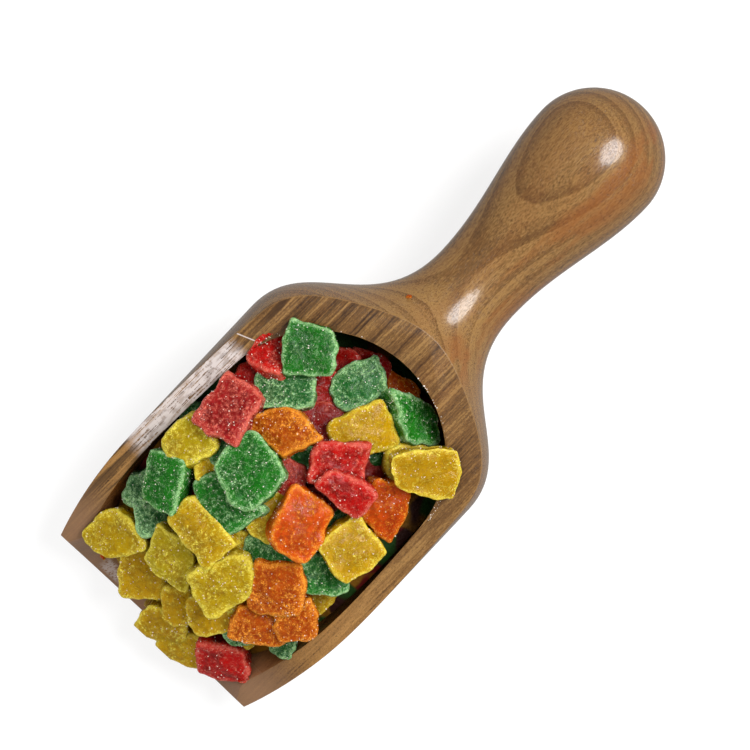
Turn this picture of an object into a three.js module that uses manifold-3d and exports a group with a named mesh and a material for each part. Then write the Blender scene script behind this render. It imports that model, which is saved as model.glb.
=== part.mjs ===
// A turned wooden scoop filled with a heap of sugared candied fruit, in millimetres, +Z up.
//
// The scoop is one piece of wood turned on a lathe: a thick cylinder that narrows over a round shoulder
// to a neck and a bulb-shaped handle. It is bored out from the mouth and sawn open on a slant.
// The fruit lies in it as one heap: a smooth core with every block that shows joined to it.
//
// Stations along the scoop are measured from its mouth, and heights from the axis it was turned on.
// The whole object stands on a narrow flat under the bowl, and the origin is at the middle of that flat.

import * as THREE from "three";
import { mergeVertices } from "three/addons/utils/BufferGeometryUtils.js";
import Module from "manifold-3d";

const wasm = await Module();
wasm.setup();

// ---------------------------------------------------------------- driving dimensions

const OVERALL_LENGTH = 200;
const BOWL_RADIUS = 41.8;
const BOWL_LENGTH = 84; // straight part, from the mouth to the start of the shoulder
const NECK = { station: 132, radius: 13.6 };
const BULB = { station: 180, radius: 20.1 };
const AXIS_HEIGHT = 40.6; // the axis above the resting flat

// How far the curves of the outline hold on to the direction that they leave and arrive with.
const SHOULDER_HOLD = [22, 28];
const GRIP_HOLD = [18, 16];
const END_HOLD = [11, 11];

const BORE_RADIUS = 35.9;
const BORE_LENGTH = 71; // straight part of the bore
const BORE_END = 106; // deepest point of its rounded end
const LIP_RADIUS = 39.4; // the bore opens out to this at the mouth
const LIP_LENGTH = 4.8;
const BORE_START = -1; // the boring tool starts this far in front of the mouth

// The saw cut in side view: steep from the mouth, then a bend, then a shallow run up to the shoulder.
const CUT_MOUTH = [0, -22];
const CUT_BEND_START = [27, -6.3];
const CUT_BEND_MIDDLE = [39.7, 1.1];
const CUT_BEND_END = [56, 5.6];
const CUT_BACK = [112.4, 21];
const CUT_RUN_ON = 0.4; // the saw runs on past both ends by this share of its last stretch

const AROUND = 48; // facets round the turned wood
const SHOULDER_STEPS = 12; // facets along each curve
const GRIP_STEPS = 8;
const END_STEPS = 8;
const BORE_END_STEPS = 9;
const CUT_BEND_STEPS = 6;
const CLEARANCE = 0.3; // between fruit and wood
const OVERHANG = 12; // how far fruit may reach out over the lip

// The top of the heap is a dome: its crown, and how fast it falls along and across the scoop.
const CROWN = { station: 64, height: 14, fallAlong: 0.0088, fallAcross: 0.0045 };
const CORE_DEPTH = 6.5; // the core lies this far below the dome
const CORE_FRONT = 6; // the core starts this far inside the mouth
const CORE_REACH = 66; // radius of its dome along the scoop
const CORE_RINGS = 7;

// Hidden blocks on the floor just inside the mouth: where they lie, how far apart and how high.
const FRONT_ROW = { station: 5, spacing: 9.5, height: 10.2, turn: 35, eachSide: 2 };
const LEAN_SHARE = 0.6; // how much of the dome's slope a block's top face follows
const EDGE_WEAR = 0.13; // worn edges of a block, as a share of its smallest size
const CORNER_CUT = 0.16; // worn corners of a block, as a share of its sides

const COLOURS = {
  wood: "#7d5a3a",
  fruit: "#b98a2a",
};

// Each block of fruit that shows: place of its middle, [length, width, thickness], its turn in degrees,
// the slant and the two tapers of its outline, how far its top stands above the dome,
// and how much further its top tips forward and sideways, in degrees.
const GREEN_BLOCKS = [
  { at: [86, 23], size: [13.5, 14, 8], turn: -55, outline: [0.5, -1.8, -0.7], lift: 11, tip: [-14, 4] },
  { at: [84, 21], size: [12, 11, 9], turn: -40, outline: [0, 0, 0], lift: 3.5, tip: [0, 0] },
  { at: [73.5, 20], size: [15.3, 9.6, 8], turn: -47, outline: [-0.7, 0, 0], lift: 3, tip: [-6, 4] },
  { at: [88.5, 5.5], size: [14.4, 10.6, 9], turn: -24, outline: [0.8, 0.4, 0], lift: 2, tip: [-8, 0] },
  { at: [93, -14], size: [13.8, 11.2, 9], turn: -63, outline: [-6, -1, 2], lift: 5, tip: [10, 12] },
  { at: [76.5, -14], size: [8, 7, 8], turn: -44, outline: [1, 1, 0.5], lift: -5, tip: [0, 0] },
  { at: [49.5, 12], size: [16.6, 15.2, 9], turn: -101, outline: [-1.6, 0.4, 0.9], lift: 6, tip: [4, -6] },
  { at: [48, 21.5], size: [5, 7, 8], turn: -62, outline: [1, 0, 1.5], lift: -1, tip: [0, 0] },
  { at: [63, 3], size: [8, 6, 8], turn: -48, outline: [0.7, 1, 0.8], lift: -4, tip: [0, 0] },
  { at: [50, 33], size: [8, 7, 8], turn: -41, outline: [1.5, 0, 0], lift: -5, tip: [0, 10] },
  { at: [42, -23], size: [13, 11, 9], turn: -47, outline: [-3, 0, -3], lift: 1, tip: [4, -6] },
  { at: [36.5, -10.5], size: [17, 8, 8], turn: -68, outline: [0, -0.7, 0], lift: 1, tip: [-14, 0] },
  { at: [38, 11], size: [12.8, 16.9, 9], turn: -21, outline: [-3.8, -0.3, -4.8], lift: 4, tip: [-4, 10] },
  { at: [30.5, 27], size: [11.6, 15.8, 10], turn: -71, outline: [-2.7, 0.7, 0.8], lift: 5, tip: [0, 14] },
  { at: [24, 30], size: [7, 9, 8], turn: -45, outline: [1.5, 1.5, -1], lift: -2, tip: [0, 10] },
  { at: [20.5, 21], size: [8, 8, 8], turn: -47, outline: [-1.5, -2, 1], lift: -1, tip: [6, 0] },
  { at: [15.5, -18.5], size: [11, 11.5, 8], turn: -19, outline: [0, 3, 1.2], lift: -2, tip: [0, 0] },
  { at: [19, -31], size: [6.5, 6, 7], turn: -43, outline: [0, 0, 2], lift: -2, tip: [0, 0] },
  { at: [56.5, -17], size: [6, 8, 8], turn: -85, outline: [0, 0, 0], lift: -4, tip: [0, 0] },
];

const RED_BLOCKS = [
  { at: [79, 31], size: [10.5, 12, 10], turn: -67, outline: [-0.5, 1.6, -1.5], lift: 5, tip: [0, 22] },
  { at: [69, 29], size: [9, 9, 8], turn: -57, outline: [-0.8, 1.8, -0.9], lift: -2, tip: [0, 10] },
  { at: [58.5, 28], size: [13.1, 15.7, 10], turn: -78, outline: [0.4, -0.8, -0.8], lift: 5, tip: [0, 10] },
  { at: [90, 12.5], size: [8.5, 8.5, 7], turn: -47, outline: [0.7, -1, -0.7], lift: -2, tip: [-6, 0] },
  { at: [94, 5.5], size: [12, 8, 7], turn: -72, outline: [-2.8, 1, 0], lift: -3, tip: [-6, 0] },
  { at: [81, 12], size: [9, 9, 8], turn: -42, outline: [-1, 0, 0], lift: -2, tip: [0, 0] },
  { at: [74, 6], size: [10, 10, 8], turn: -53, outline: [-1, 1, 1], lift: -2, tip: [6, 6] },
  { at: [68.5, -5.5], size: [14.8, 11.2, 9], turn: -47, outline: [2.9, -0.6, 0], lift: 4, tip: [0, -4] },
  { at: [64, -12], size: [8.6, 14.5, 8], turn: -1, outline: [-2.3, -1.5, -0.9], lift: 8.8, tip: [-6, -6] },
  { at: [56, 1.5], size: [9, 10, 9], turn: -59, outline: [0, -1.8, 0], lift: -1, tip: [0, 0] },
  { at: [4.4, -22.4], size: [13.4, 12, 9], turn: -46, outline: [-1, -1, 0], lift: 1.5, tip: [0, -8] },
];

const ORANGE_BLOCKS = [
  { at: [95.5, -5.5], size: [9, 8, 7], turn: -72, outline: [-1.2, 0, 0.9], lift: -3, tip: [-4, 0] },
  { at: [64.6, 13], size: [13, 13, 7], turn: -24, outline: [-5.6, -1.3, 0.8], lift: 4, tip: [-4, 8] },
  { at: [48.5, -9.5], size: [13.1, 16.4, 10], turn: -79, outline: [-1.1, -0.9, 0.4], lift: 7, tip: [6, -6] },
  { at: [68.5, -24], size: [12.7, 13.6, 9], turn: -77, outline: [-2.5, 3, -0.8], lift: 3, tip: [0, -14] },
  { at: [30.4, -17.4], size: [14, 14.5, 9], turn: -50, outline: [0.5, 0.4, -0.9], lift: 5, tip: [-4, 0] },
  { at: [20.3, -21.8], size: [15.5, 11.2, 9], turn: -48, outline: [3, 1.5, 0], lift: 4.5, tip: [4, -6] },
  { at: [27.4, -28], size: [10.5, 11.5, 9], turn: -36, outline: [0, 1.5, 0], lift: 4.5, tip: [4, -6] },
];

const YELLOW_BLOCKS = [
  { at: [79.6, -4], size: [17.2, 11.8, 9], turn: -31, outline: [-1.4, 2, -0.6], lift: 2, tip: [0, 0] },
  { at: [83.1, -25], size: [17.5, 11.5, 7], turn: -51, outline: [-1.9, 2.7, 2], lift: 11, tip: [-12, 10] },
  { at: [82, -20], size: [11, 10, 9], turn: -40, outline: [0, 0, 0], lift: 4, tip: [0, 0] },
  { at: [36, -28], size: [8, 8, 8], turn: -64, outline: [1.4, 0, 2], lift: -3, tip: [0, 0] },
  { at: [44, -1], size: [9, 13, 9], turn: -65, outline: [0.7, 1.7, -1.2], lift: 1, tip: [0, 0] },
  { at: [43.5, 30], size: [12.9, 10.9, 9], turn: -16, outline: [0, 1.8, -1], lift: 4, tip: [0, 10] },
  { at: [44, 22], size: [5, 11, 9], turn: -37, outline: [2.8, 0, -1], lift: 0, tip: [0, 0] },
  { at: [53, -25], size: [13.8, 13.8, 9], turn: -8, outline: [0, 0, -0.4], lift: 6, tip: [2, -8] },
  { at: [9.6, 25.2], size: [14.4, 11.8, 9], turn: -22, outline: [-3.8, 2.5, 0.7], lift: 3, tip: [0, 8] },
  { at: [27.5, 9.5], size: [11.3, 18.2, 10], turn: -8, outline: [0.6, 0, -0.9], lift: 6, tip: [0, 8] },
  { at: [21.3, -5.8], size: [17, 12.6, 9], turn: -18, outline: [2.2, -2, 1.2], lift: 7, tip: [4, -4] },
  { at: [16.3, 9.6], size: [14, 12.6, 9], turn: -86, outline: [-4.7, -0.4, -1], lift: 3, tip: [-4, 4] },
  { at: [7, 12], size: [11.5, 13.5, 9], turn: -49, outline: [-1, -0.8, -3], lift: 0, tip: [-4, 0] },
  { at: [7.5, -1.5], size: [9, 11, 9], turn: -55, outline: [0, -0.5, 0.8], lift: 1, tip: [0, 0] },
  { at: [12.6, -9.8], size: [14, 10.5, 9], turn: -32, outline: [2.4, -1.4, 0.5], lift: 3, tip: [0, 0] },
  { at: [0.4, -3], size: [13, 12, 8], turn: -66, outline: [0, 2, -1], lift: 1, tip: [-4, 0] },
  { at: [-0.4, -11.5], size: [13.6, 11.5, 9], turn: -60, outline: [-0.9, 1, 1], lift: 0, tip: [-8, -4] },
  { at: [33, -3], size: [6, 9, 8], turn: -52, outline: [0, 0, 0], lift: -1, tip: [0, 0] },
  { at: [22, -12], size: [8, 9, 8], turn: -40, outline: [2, 0, 0], lift: 0, tip: [0, 0] },
];

// ---------------------------------------------------------------- solids from geometries

// Turn a closed three.js geometry into a solid that can be joined and cut.
function solid(geometry) {
  geometry.deleteAttribute("normal");
  geometry.deleteAttribute("uv");
  const merged = mergeVertices(geometry, 1e-4);
  const corners = merged.index.array;
  const triangles = [];
  for (let i = 0; i < corners.length; i += 3) {
    const [a, b, c] = corners.slice(i, i + 3);
    // A pole of a turned shape has triangles of no area.
    if (a !== b && b !== c && c !== a) triangles.push(a, b, c);
  }
  return new wasm.Manifold(
    new wasm.Mesh({
      numProp: 3,
      vertProperties: new Float32Array(merged.attributes.position.array),
      triVerts: new Uint32Array(triangles),
    }),
  );
}

function geometryOf(manifold) {
  const mesh = manifold.getMesh();
  const geometry = new THREE.BufferGeometry();
  geometry.setAttribute("position", new THREE.BufferAttribute(mesh.vertProperties, 3));
  geometry.setIndex(new THREE.BufferAttribute(mesh.triVerts, 1));
  geometry.computeVertexNormals();
  return geometry;
}

// Turn a profile of (station, radius) points about the X axis.
function turned(profile) {
  const points = profile.map(([station, radius]) => new THREE.Vector2(radius, station));
  return solid(new THREE.LatheGeometry(points, AROUND).rotateZ(-Math.PI / 2));
}

// Points along a Bezier curve, without its first one.
function bend(from, handleA, handleB, to, steps) {
  const [a, b, c, d] = [from, handleA, handleB, to].map(([x, y]) => new THREE.Vector2(x, y));
  const curve = new THREE.CubicBezierCurve(a, b, c, d);
  return curve.getPoints(steps).slice(1).map((point) => [point.x, point.y]);
}

// ---------------------------------------------------------------- the scoop

// Points of a curve that leaves and reaches its ends along the axis, held on to by the given lengths.
function alongAxis(from, to, [leave, arrive], steps) {
  return bend(from, [from[0] + leave, from[1]], [to[0] - arrive, to[1]], to, steps);
}

function outsideProfile() {
  const bowlEnd = [BOWL_LENGTH, BOWL_RADIUS];
  const neck = [NECK.station, NECK.radius];
  const bulb = [BULB.station, BULB.radius];
  const tip = [OVERALL_LENGTH, 0];
  const beforeTip = [[BULB.station + END_HOLD[0], BULB.radius], [OVERALL_LENGTH, END_HOLD[1]]];
  return [
    [0, 0],
    [0, BOWL_RADIUS],
    bowlEnd,
    ...alongAxis(bowlEnd, neck, SHOULDER_HOLD, SHOULDER_STEPS),
    ...alongAxis(neck, bulb, GRIP_HOLD, GRIP_STEPS),
    ...bend(bulb, beforeTip[0], beforeTip[1], tip, END_STEPS),
  ];
}

// The bore with its lip, made smaller all round by a given gap.
function boreProfile(gap) {
  const radius = BORE_RADIUS - gap;
  const endLength = BORE_END - BORE_LENGTH - gap;
  const profile = [
    [BORE_START, 0],
    [BORE_START, LIP_RADIUS - gap],
    [0, LIP_RADIUS - gap],
    [LIP_LENGTH, radius],
    [BORE_LENGTH, radius],
  ];
  for (let i = 1; i < BORE_END_STEPS; i += 1) {
    const angle = (i / BORE_END_STEPS) * (Math.PI / 2);
    profile.push([BORE_LENGTH + endLength * Math.sin(angle), radius * Math.cos(angle)]);
  }
  return [...profile, [BORE_LENGTH + endLength, 0]];
}

// The point that a line reaches when it runs on past its last point.
function runOn([x, z], [beforeX, beforeZ]) {
  return [x + (x - beforeX) * CUT_RUN_ON, z + (z - beforeZ) * CUT_RUN_ON];
}

// All that the slanting saw cut takes away, raised by a given gap.
function cutAway(gap) {
  const bendLine = new THREE.QuadraticBezierCurve(
    new THREE.Vector2(...CUT_BEND_START),
    new THREE.Vector2(...CUT_BEND_MIDDLE),
    new THREE.Vector2(...CUT_BEND_END),
  );
  const bent = bendLine.getPoints(CUT_BEND_STEPS).map((point) => [point.x, point.y]);
  const line = [CUT_MOUTH, ...bent, CUT_BACK];
  const front = runOn(line[0], line[1]);
  const back = runOn(line.at(-1), line.at(-2));
  // The tool is higher and wider than the bowl.
  const high = BOWL_RADIUS * 2;
  const width = BOWL_RADIUS * 3;
  const outline = [front, ...line, back, [back[0], high], [front[0], high]];
  const shape = new THREE.Shape(outline.map(([x, z]) => new THREE.Vector2(x, z + gap)));
  const slab = new THREE.ExtrudeGeometry(shape, { depth: width, bevelEnabled: false });
  return solid(slab.rotateX(Math.PI / 2).translate(0, width / 2, 0));
}

// What is planed off under the bowl.
function restingFlat() {
  const depth = BOWL_RADIUS;
  const block = new THREE.BoxGeometry(2 * OVERALL_LENGTH, 3 * BOWL_RADIUS, depth);
  return solid(block.translate(0, 0, -AXIS_HEIGHT - depth / 2));
}

function scoop() {
  const blank = turned(outsideProfile()).subtract(restingFlat());
  return blank.subtract(turned(boreProfile(0))).subtract(cutAway(0));
}

// ---------------------------------------------------------------- the heap of fruit

function domeHeight(x, y) {
  const along = x - CROWN.station;
  return CROWN.height - CROWN.fallAlong * along ** 2 - CROWN.fallAcross * y ** 2;
}

// The smooth inside of the heap: a dome in the shape of its top, closed below the bore.
function core() {
  const bottom = -BORE_RADIUS * 2;
  const profile = [];
  for (let i = 0; i <= CORE_RINGS; i += 1) {
    const radius = (CORE_REACH * i) / CORE_RINGS;
    profile.unshift(new THREE.Vector2(radius, -CROWN.fallAlong * radius ** 2));
  }
  profile.unshift(new THREE.Vector2(0, bottom), new THREE.Vector2(CORE_REACH, bottom));
  const dome = new THREE.LatheGeometry(profile, AROUND / 2).rotateX(Math.PI / 2);
  dome.scale(1, Math.sqrt(CROWN.fallAlong / CROWN.fallAcross), 1);
  const whole = solid(dome.translate(CROWN.station, 0, CROWN.height - CORE_DEPTH));
  const inside = turned([
    [CORE_FRONT, 0],
    [CORE_FRONT, BORE_RADIUS],
    [BORE_END, BORE_RADIUS],
    [BORE_END, 0],
  ]);
  return whole.intersect(inside);
}

// The outline with each corner cut off between its two neighbours.
function wornOutline(corners) {
  const points = [];
  corners.forEach((corner, i) => {
    const before = corners[(i + 3) % 4];
    const after = corners[(i + 1) % 4];
    points.push(corner.clone().lerp(before, CORNER_CUT), corner.clone().lerp(after, CORNER_CUT));
  });
  return points;
}

// A worn block with its middle over its place, its top face leaning with the dome.
function fruitBlock({ at: [x, y], size, turn, outline: [slant, taper, flare], lift, tip }) {
  const [length, width, thickness] = size;
  const corners = [[-1, -1], [1, -1], [1, 1], [-1, 1]].map(([i, j]) => {
    const across = (j * width + i * j * taper) / 2;
    return new THREE.Vector2((i * length + j * slant + i * j * flare) / 2, across);
  });
  const worn = EDGE_WEAR * Math.min(...size);
  const block = new THREE.ExtrudeGeometry(new THREE.Shape(wornOutline(corners)), {
    depth: thickness - 2 * worn,
    bevelThickness: worn,
    bevelSize: worn,
    bevelOffset: -worn,
    bevelSegments: 1,
  });
  const slopeX = -2 * CROWN.fallAlong * (x - CROWN.station) * LEAN_SHARE;
  const slopeY = -2 * CROWN.fallAcross * y * LEAN_SHARE;
  block.translate(0, 0, worn - thickness);
  block.rotateZ(THREE.MathUtils.degToRad(turn));
  block.rotateY(-Math.atan(slopeX) + THREE.MathUtils.degToRad(tip[0]));
  block.rotateX(Math.atan(slopeY) - THREE.MathUtils.degToRad(tip[1]) * Math.sign(y));
  return solid(block.translate(x, y, domeHeight(x, y) + lift));
}

// A row of blocks on the floor of the bore just inside the mouth, under the ones that show.
function frontRow() {
  const blocks = [];
  const { station, spacing, height, turn, eachSide } = FRONT_ROW;
  for (let i = -eachSide; i <= eachSide; i += 1) {
    const [x, y] = [station + Math.abs(i), i * spacing];
    const floor = -Math.sqrt(BORE_RADIUS ** 2 - y ** 2);
    const lift = floor + height - domeHeight(x, y);
    const size = [spacing, spacing, height];
    blocks.push({ at: [x, y], size, turn: turn * i, outline: [1, 1, 0], lift, tip: [0, 0] });
  }
  return blocks;
}

// Where fruit can lie: inside the bore, above the saw cut, and straight in front of the mouth.
function roomForFruit() {
  const radius = BORE_RADIUS - CLEARANCE;
  const front = turned([[-OVERHANG, 0], [-OVERHANG, radius], [0, radius], [0, 0]]);
  return turned(boreProfile(CLEARANCE)).add(cutAway(CLEARANCE)).add(front);
}

function fruitHeap() {
  let heap = core();
  const shown = [...GREEN_BLOCKS, ...RED_BLOCKS, ...ORANGE_BLOCKS, ...YELLOW_BLOCKS];
  for (const block of [...shown, ...frontRow()]) {
    heap = heap.add(fruitBlock(block));
  }
  return heap.intersect(roomForFruit());
}

// ---------------------------------------------------------------- the object

function named(name, manifold, colour, roughness) {
  const material = new THREE.MeshStandardMaterial({ color: colour, roughness, metalness: 0 });
  const mesh = new THREE.Mesh(geometryOf(manifold), material);
  mesh.name = name;
  return mesh;
}

const filledScoop = new THREE.Group();
filledScoop.add(
  named("scoop", scoop(), COLOURS.wood, 0.35),
  named("fruit_heap", fruitHeap(), COLOURS.fruit, 0.55),
);
// The origin is at the middle of the resting flat.
filledScoop.position.set(-BOWL_LENGTH / 2, 0, AXIS_HEIGHT);

export default filledScoop;
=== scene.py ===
"""A turned wooden scoop heaped with sugared candied fruit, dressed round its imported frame.

Stations along the scoop are measured from its mouth and heights from the axis it was turned on,
both in millimetres. Meshes are in metres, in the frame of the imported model.
"""

from __future__ import annotations

import logging
import math
import random
from dataclasses import dataclass, field
from enum import Enum
from typing import Iterable, Mapping, Sequence, Union

import bpy
import numpy as np
from mathutils import Matrix, Vector

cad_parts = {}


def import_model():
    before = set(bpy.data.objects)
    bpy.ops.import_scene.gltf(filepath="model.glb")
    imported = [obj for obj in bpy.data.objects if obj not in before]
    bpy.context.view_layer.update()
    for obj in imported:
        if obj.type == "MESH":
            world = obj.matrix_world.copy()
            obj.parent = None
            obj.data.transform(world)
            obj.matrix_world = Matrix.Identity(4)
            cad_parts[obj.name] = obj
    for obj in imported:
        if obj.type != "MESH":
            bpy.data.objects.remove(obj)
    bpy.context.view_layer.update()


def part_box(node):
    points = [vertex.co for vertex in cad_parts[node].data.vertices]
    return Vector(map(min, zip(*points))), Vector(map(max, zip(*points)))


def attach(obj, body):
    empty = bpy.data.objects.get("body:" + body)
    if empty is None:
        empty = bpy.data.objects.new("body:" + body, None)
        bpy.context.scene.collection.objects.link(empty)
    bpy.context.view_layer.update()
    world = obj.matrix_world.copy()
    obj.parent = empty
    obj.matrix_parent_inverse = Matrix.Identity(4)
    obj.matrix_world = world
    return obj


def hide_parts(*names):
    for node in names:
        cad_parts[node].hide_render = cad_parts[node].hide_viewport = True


LOG = logging.getLogger("filled_scoop")

MM = 0.001
AXIS_HEIGHT = 40.6
MOUTH_PLACE = -42.0
ROOT = "root"

# How close two vertices are to be merged, in millimetres: those of a drawn shell, those of a spun
# one, and those of a sliver that a cut has left.
FINE_MERGE = 0.001
SPIN_MERGE = 0.02
SLIVER = 0.004

# A point beside the mouth, in metres, from which no two vertices are equally far. A cut numbers
# its vertices differently in each run, so they are numbered by their distance from it.
ORDER_FROM = (-0.0777, -0.0913, 0.1234)

Colour = tuple[float, float, float]
Point = tuple[float, float]
Size = tuple[float, float, float]
Span = tuple[float, float, float, float]
Value = Union["Signal", bpy.types.NodeSocket, float, Colour]


def place(station: float, across: float, height: float) -> Vector:
    """Return a point of the scoop, given in millimetres from its mouth and axis, in metres."""
    return Vector(((station + MOUTH_PLACE) * MM, across * MM, (height + AXIS_HEIGHT) * MM))


def srgb(red: int, green: int, blue: int) -> Colour:
    """Return the linear colour of a screen colour given as 0 to 255, by the curve of sRGB."""
    return tuple(
        c / 12.92 if c <= 0.04045 else ((c + 0.055) / 1.055) ** 2.4
        for c in (red / 255, green / 255, blue / 255)
    )


# ---------------------------------------------------------------- modelling by operators


def deselect_all() -> None:
    """Leave edit mode and select nothing."""
    if bpy.context.mode != "OBJECT":
        bpy.ops.object.mode_set(mode="OBJECT")
    bpy.ops.object.select_all(action="DESELECT")


def make_active(piece: bpy.types.Object) -> None:
    """Select one piece alone and make it the active one.

    Args:
        piece: The object.
    """
    deselect_all()
    piece.select_set(True)
    bpy.context.view_layer.objects.active = piece


def apply_place(piece: bpy.types.Object) -> None:
    """Bring a piece's object to the origin, with its place in its mesh."""
    make_active(piece)
    bpy.ops.object.transform_apply(location=True, rotation=True, scale=True)


def apply_modifier(piece: bpy.types.Object, kind: str, **settings: object) -> None:
    """Add a modifier to a piece and apply it.

    Args:
        piece: The mesh object.
        kind: The modifier's type.
        **settings: Its settings by name.
    """
    make_active(piece)
    modifier = piece.modifiers.new(kind.title(), kind)
    for key, value in settings.items():
        setattr(modifier, key, value)
    bpy.ops.object.modifier_apply(modifier=modifier.name)


def draw_chain(name: str, points: Sequence[Vector]) -> bpy.types.Object:
    """Draw a chain of edges by extruding one vertex from point to point.

    Args:
        name: The new object's name.
        points: The chain's points, in metres.

    Returns:
        The object, in edit mode, with its last vertex selected.
    """
    deselect_all()
    bpy.ops.mesh.primitive_plane_add(size=MM, location=points[0])
    piece = bpy.context.object
    piece.name = name
    bpy.ops.object.mode_set(mode="EDIT")
    bpy.ops.mesh.select_mode(type="VERT")
    bpy.ops.mesh.select_all(action="SELECT")
    bpy.ops.mesh.merge(type="CENTER")
    for start, end in zip(points, points[1:]):
        bpy.ops.mesh.extrude_region_move(TRANSFORM_OT_translate={"value": end - start})
    return piece


def tidy_shell(merge_distance: float) -> None:
    """Merge doubles and turn every face outwards, in edit mode.

    Args:
        merge_distance: How close two vertices are to be merged, in metres.
    """
    bpy.ops.mesh.select_all(action="SELECT")
    bpy.ops.mesh.remove_doubles(threshold=merge_distance)
    bpy.ops.mesh.normals_make_consistent(inside=False)
    bpy.ops.object.mode_set(mode="OBJECT")


def merge_doubles(piece: bpy.types.Object, merge_distance: float) -> None:
    """Merge a piece's doubles, such as the slivers of a cut, the same ones in every run.

    Args:
        piece: The mesh object.
        merge_distance: How close two vertices are to be merged, in metres.
    """
    cursor = bpy.context.scene.cursor
    make_active(piece)
    bpy.ops.object.mode_set(mode="EDIT")
    bpy.ops.mesh.select_all(action="SELECT")
    cursor.location = ORDER_FROM
    bpy.ops.mesh.sort_elements(type="CURSOR_DISTANCE", elements={"VERT", "EDGE", "FACE"})
    cursor.location = (0.0, 0.0, 0.0)
    tidy_shell(merge_distance)


def spin_solid(name: str, profile: Sequence[Point], steps: int) -> bpy.types.Object:
    """Turn a closed solid about the scoop's axis.

    Args:
        name: The new object's name.
        profile: Points of (station, radius) that start and end on the axis.
        steps: Facets round the axis.

    Returns:
        The solid.
    """
    piece = draw_chain(name, [place(station, radius, 0) for station, radius in profile])
    bpy.ops.mesh.select_all(action="SELECT")
    bpy.ops.mesh.spin(steps=steps, angle=math.tau, center=place(0, 0, 0), axis=(1, 0, 0))
    tidy_shell(SPIN_MERGE * MM)
    apply_place(piece)
    return piece


def extruded_slab(name: str, outline: Sequence[Point], width: float) -> bpy.types.Object:
    """Make a slab across the scoop from an outline in side view.

    Args:
        name: The new object's name.
        outline: Corners of (station, height).
        width: The slab's width, half to each side.

    Returns:
        The slab.
    """
    corners = [place(station, -width / 2, height) for station, height in outline]
    piece = draw_chain(name, corners)
    bpy.ops.mesh.select_all(action="SELECT")
    bpy.ops.mesh.edge_face_add()
    bpy.ops.mesh.extrude_region_move(TRANSFORM_OT_translate={"value": (0, width * MM, 0)})
    tidy_shell(FINE_MERGE * MM)
    apply_place(piece)
    return piece


def combine(piece: bpy.types.Object, tool: bpy.types.Object, operation: str) -> None:
    """Cut, join or intersect a piece with a tool, which is then removed."""
    apply_modifier(piece, "BOOLEAN", object=tool, operation=operation, solver="EXACT")
    bpy.data.objects.remove(tool, do_unlink=True)


def bezier(points: Sequence[Point], steps: int) -> list[Point]:
    """Return points along a Bezier curve.

    Args:
        points: Its control points, of which there may be any number.
        steps: How many points to return.

    Returns:
        The points, without the first of the curve.
    """
    curve = []
    degree = len(points) - 1
    for i in range(1, steps + 1):
        t = i / steps
        weights = [math.comb(degree, k) * t**k * (1 - t) ** (degree - k) for k in range(degree + 1)]
        x = sum(w * p[0] for w, p in zip(weights, points))
        y = sum(w * p[1] for w, p in zip(weights, points))
        curve.append((x, y))
    return curve


def mesh_from_arrays(name: str, corners: np.ndarray, faces: np.ndarray) -> bpy.types.Object:
    """Link a new object whose mesh is made from arrays.

    Args:
        name: The object's name.
        corners: One row of three coordinates per vertex, in metres.
        faces: One row of vertex numbers per face.

    Returns:
        The new object.
    """
    mesh = bpy.data.meshes.new(name)
    mesh.from_pydata(corners.tolist(), [], faces.tolist())
    mesh.validate()
    piece = bpy.data.objects.new(name, mesh)
    bpy.context.scene.collection.objects.link(piece)
    return piece


# ---------------------------------------------------------------- shader building


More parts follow.
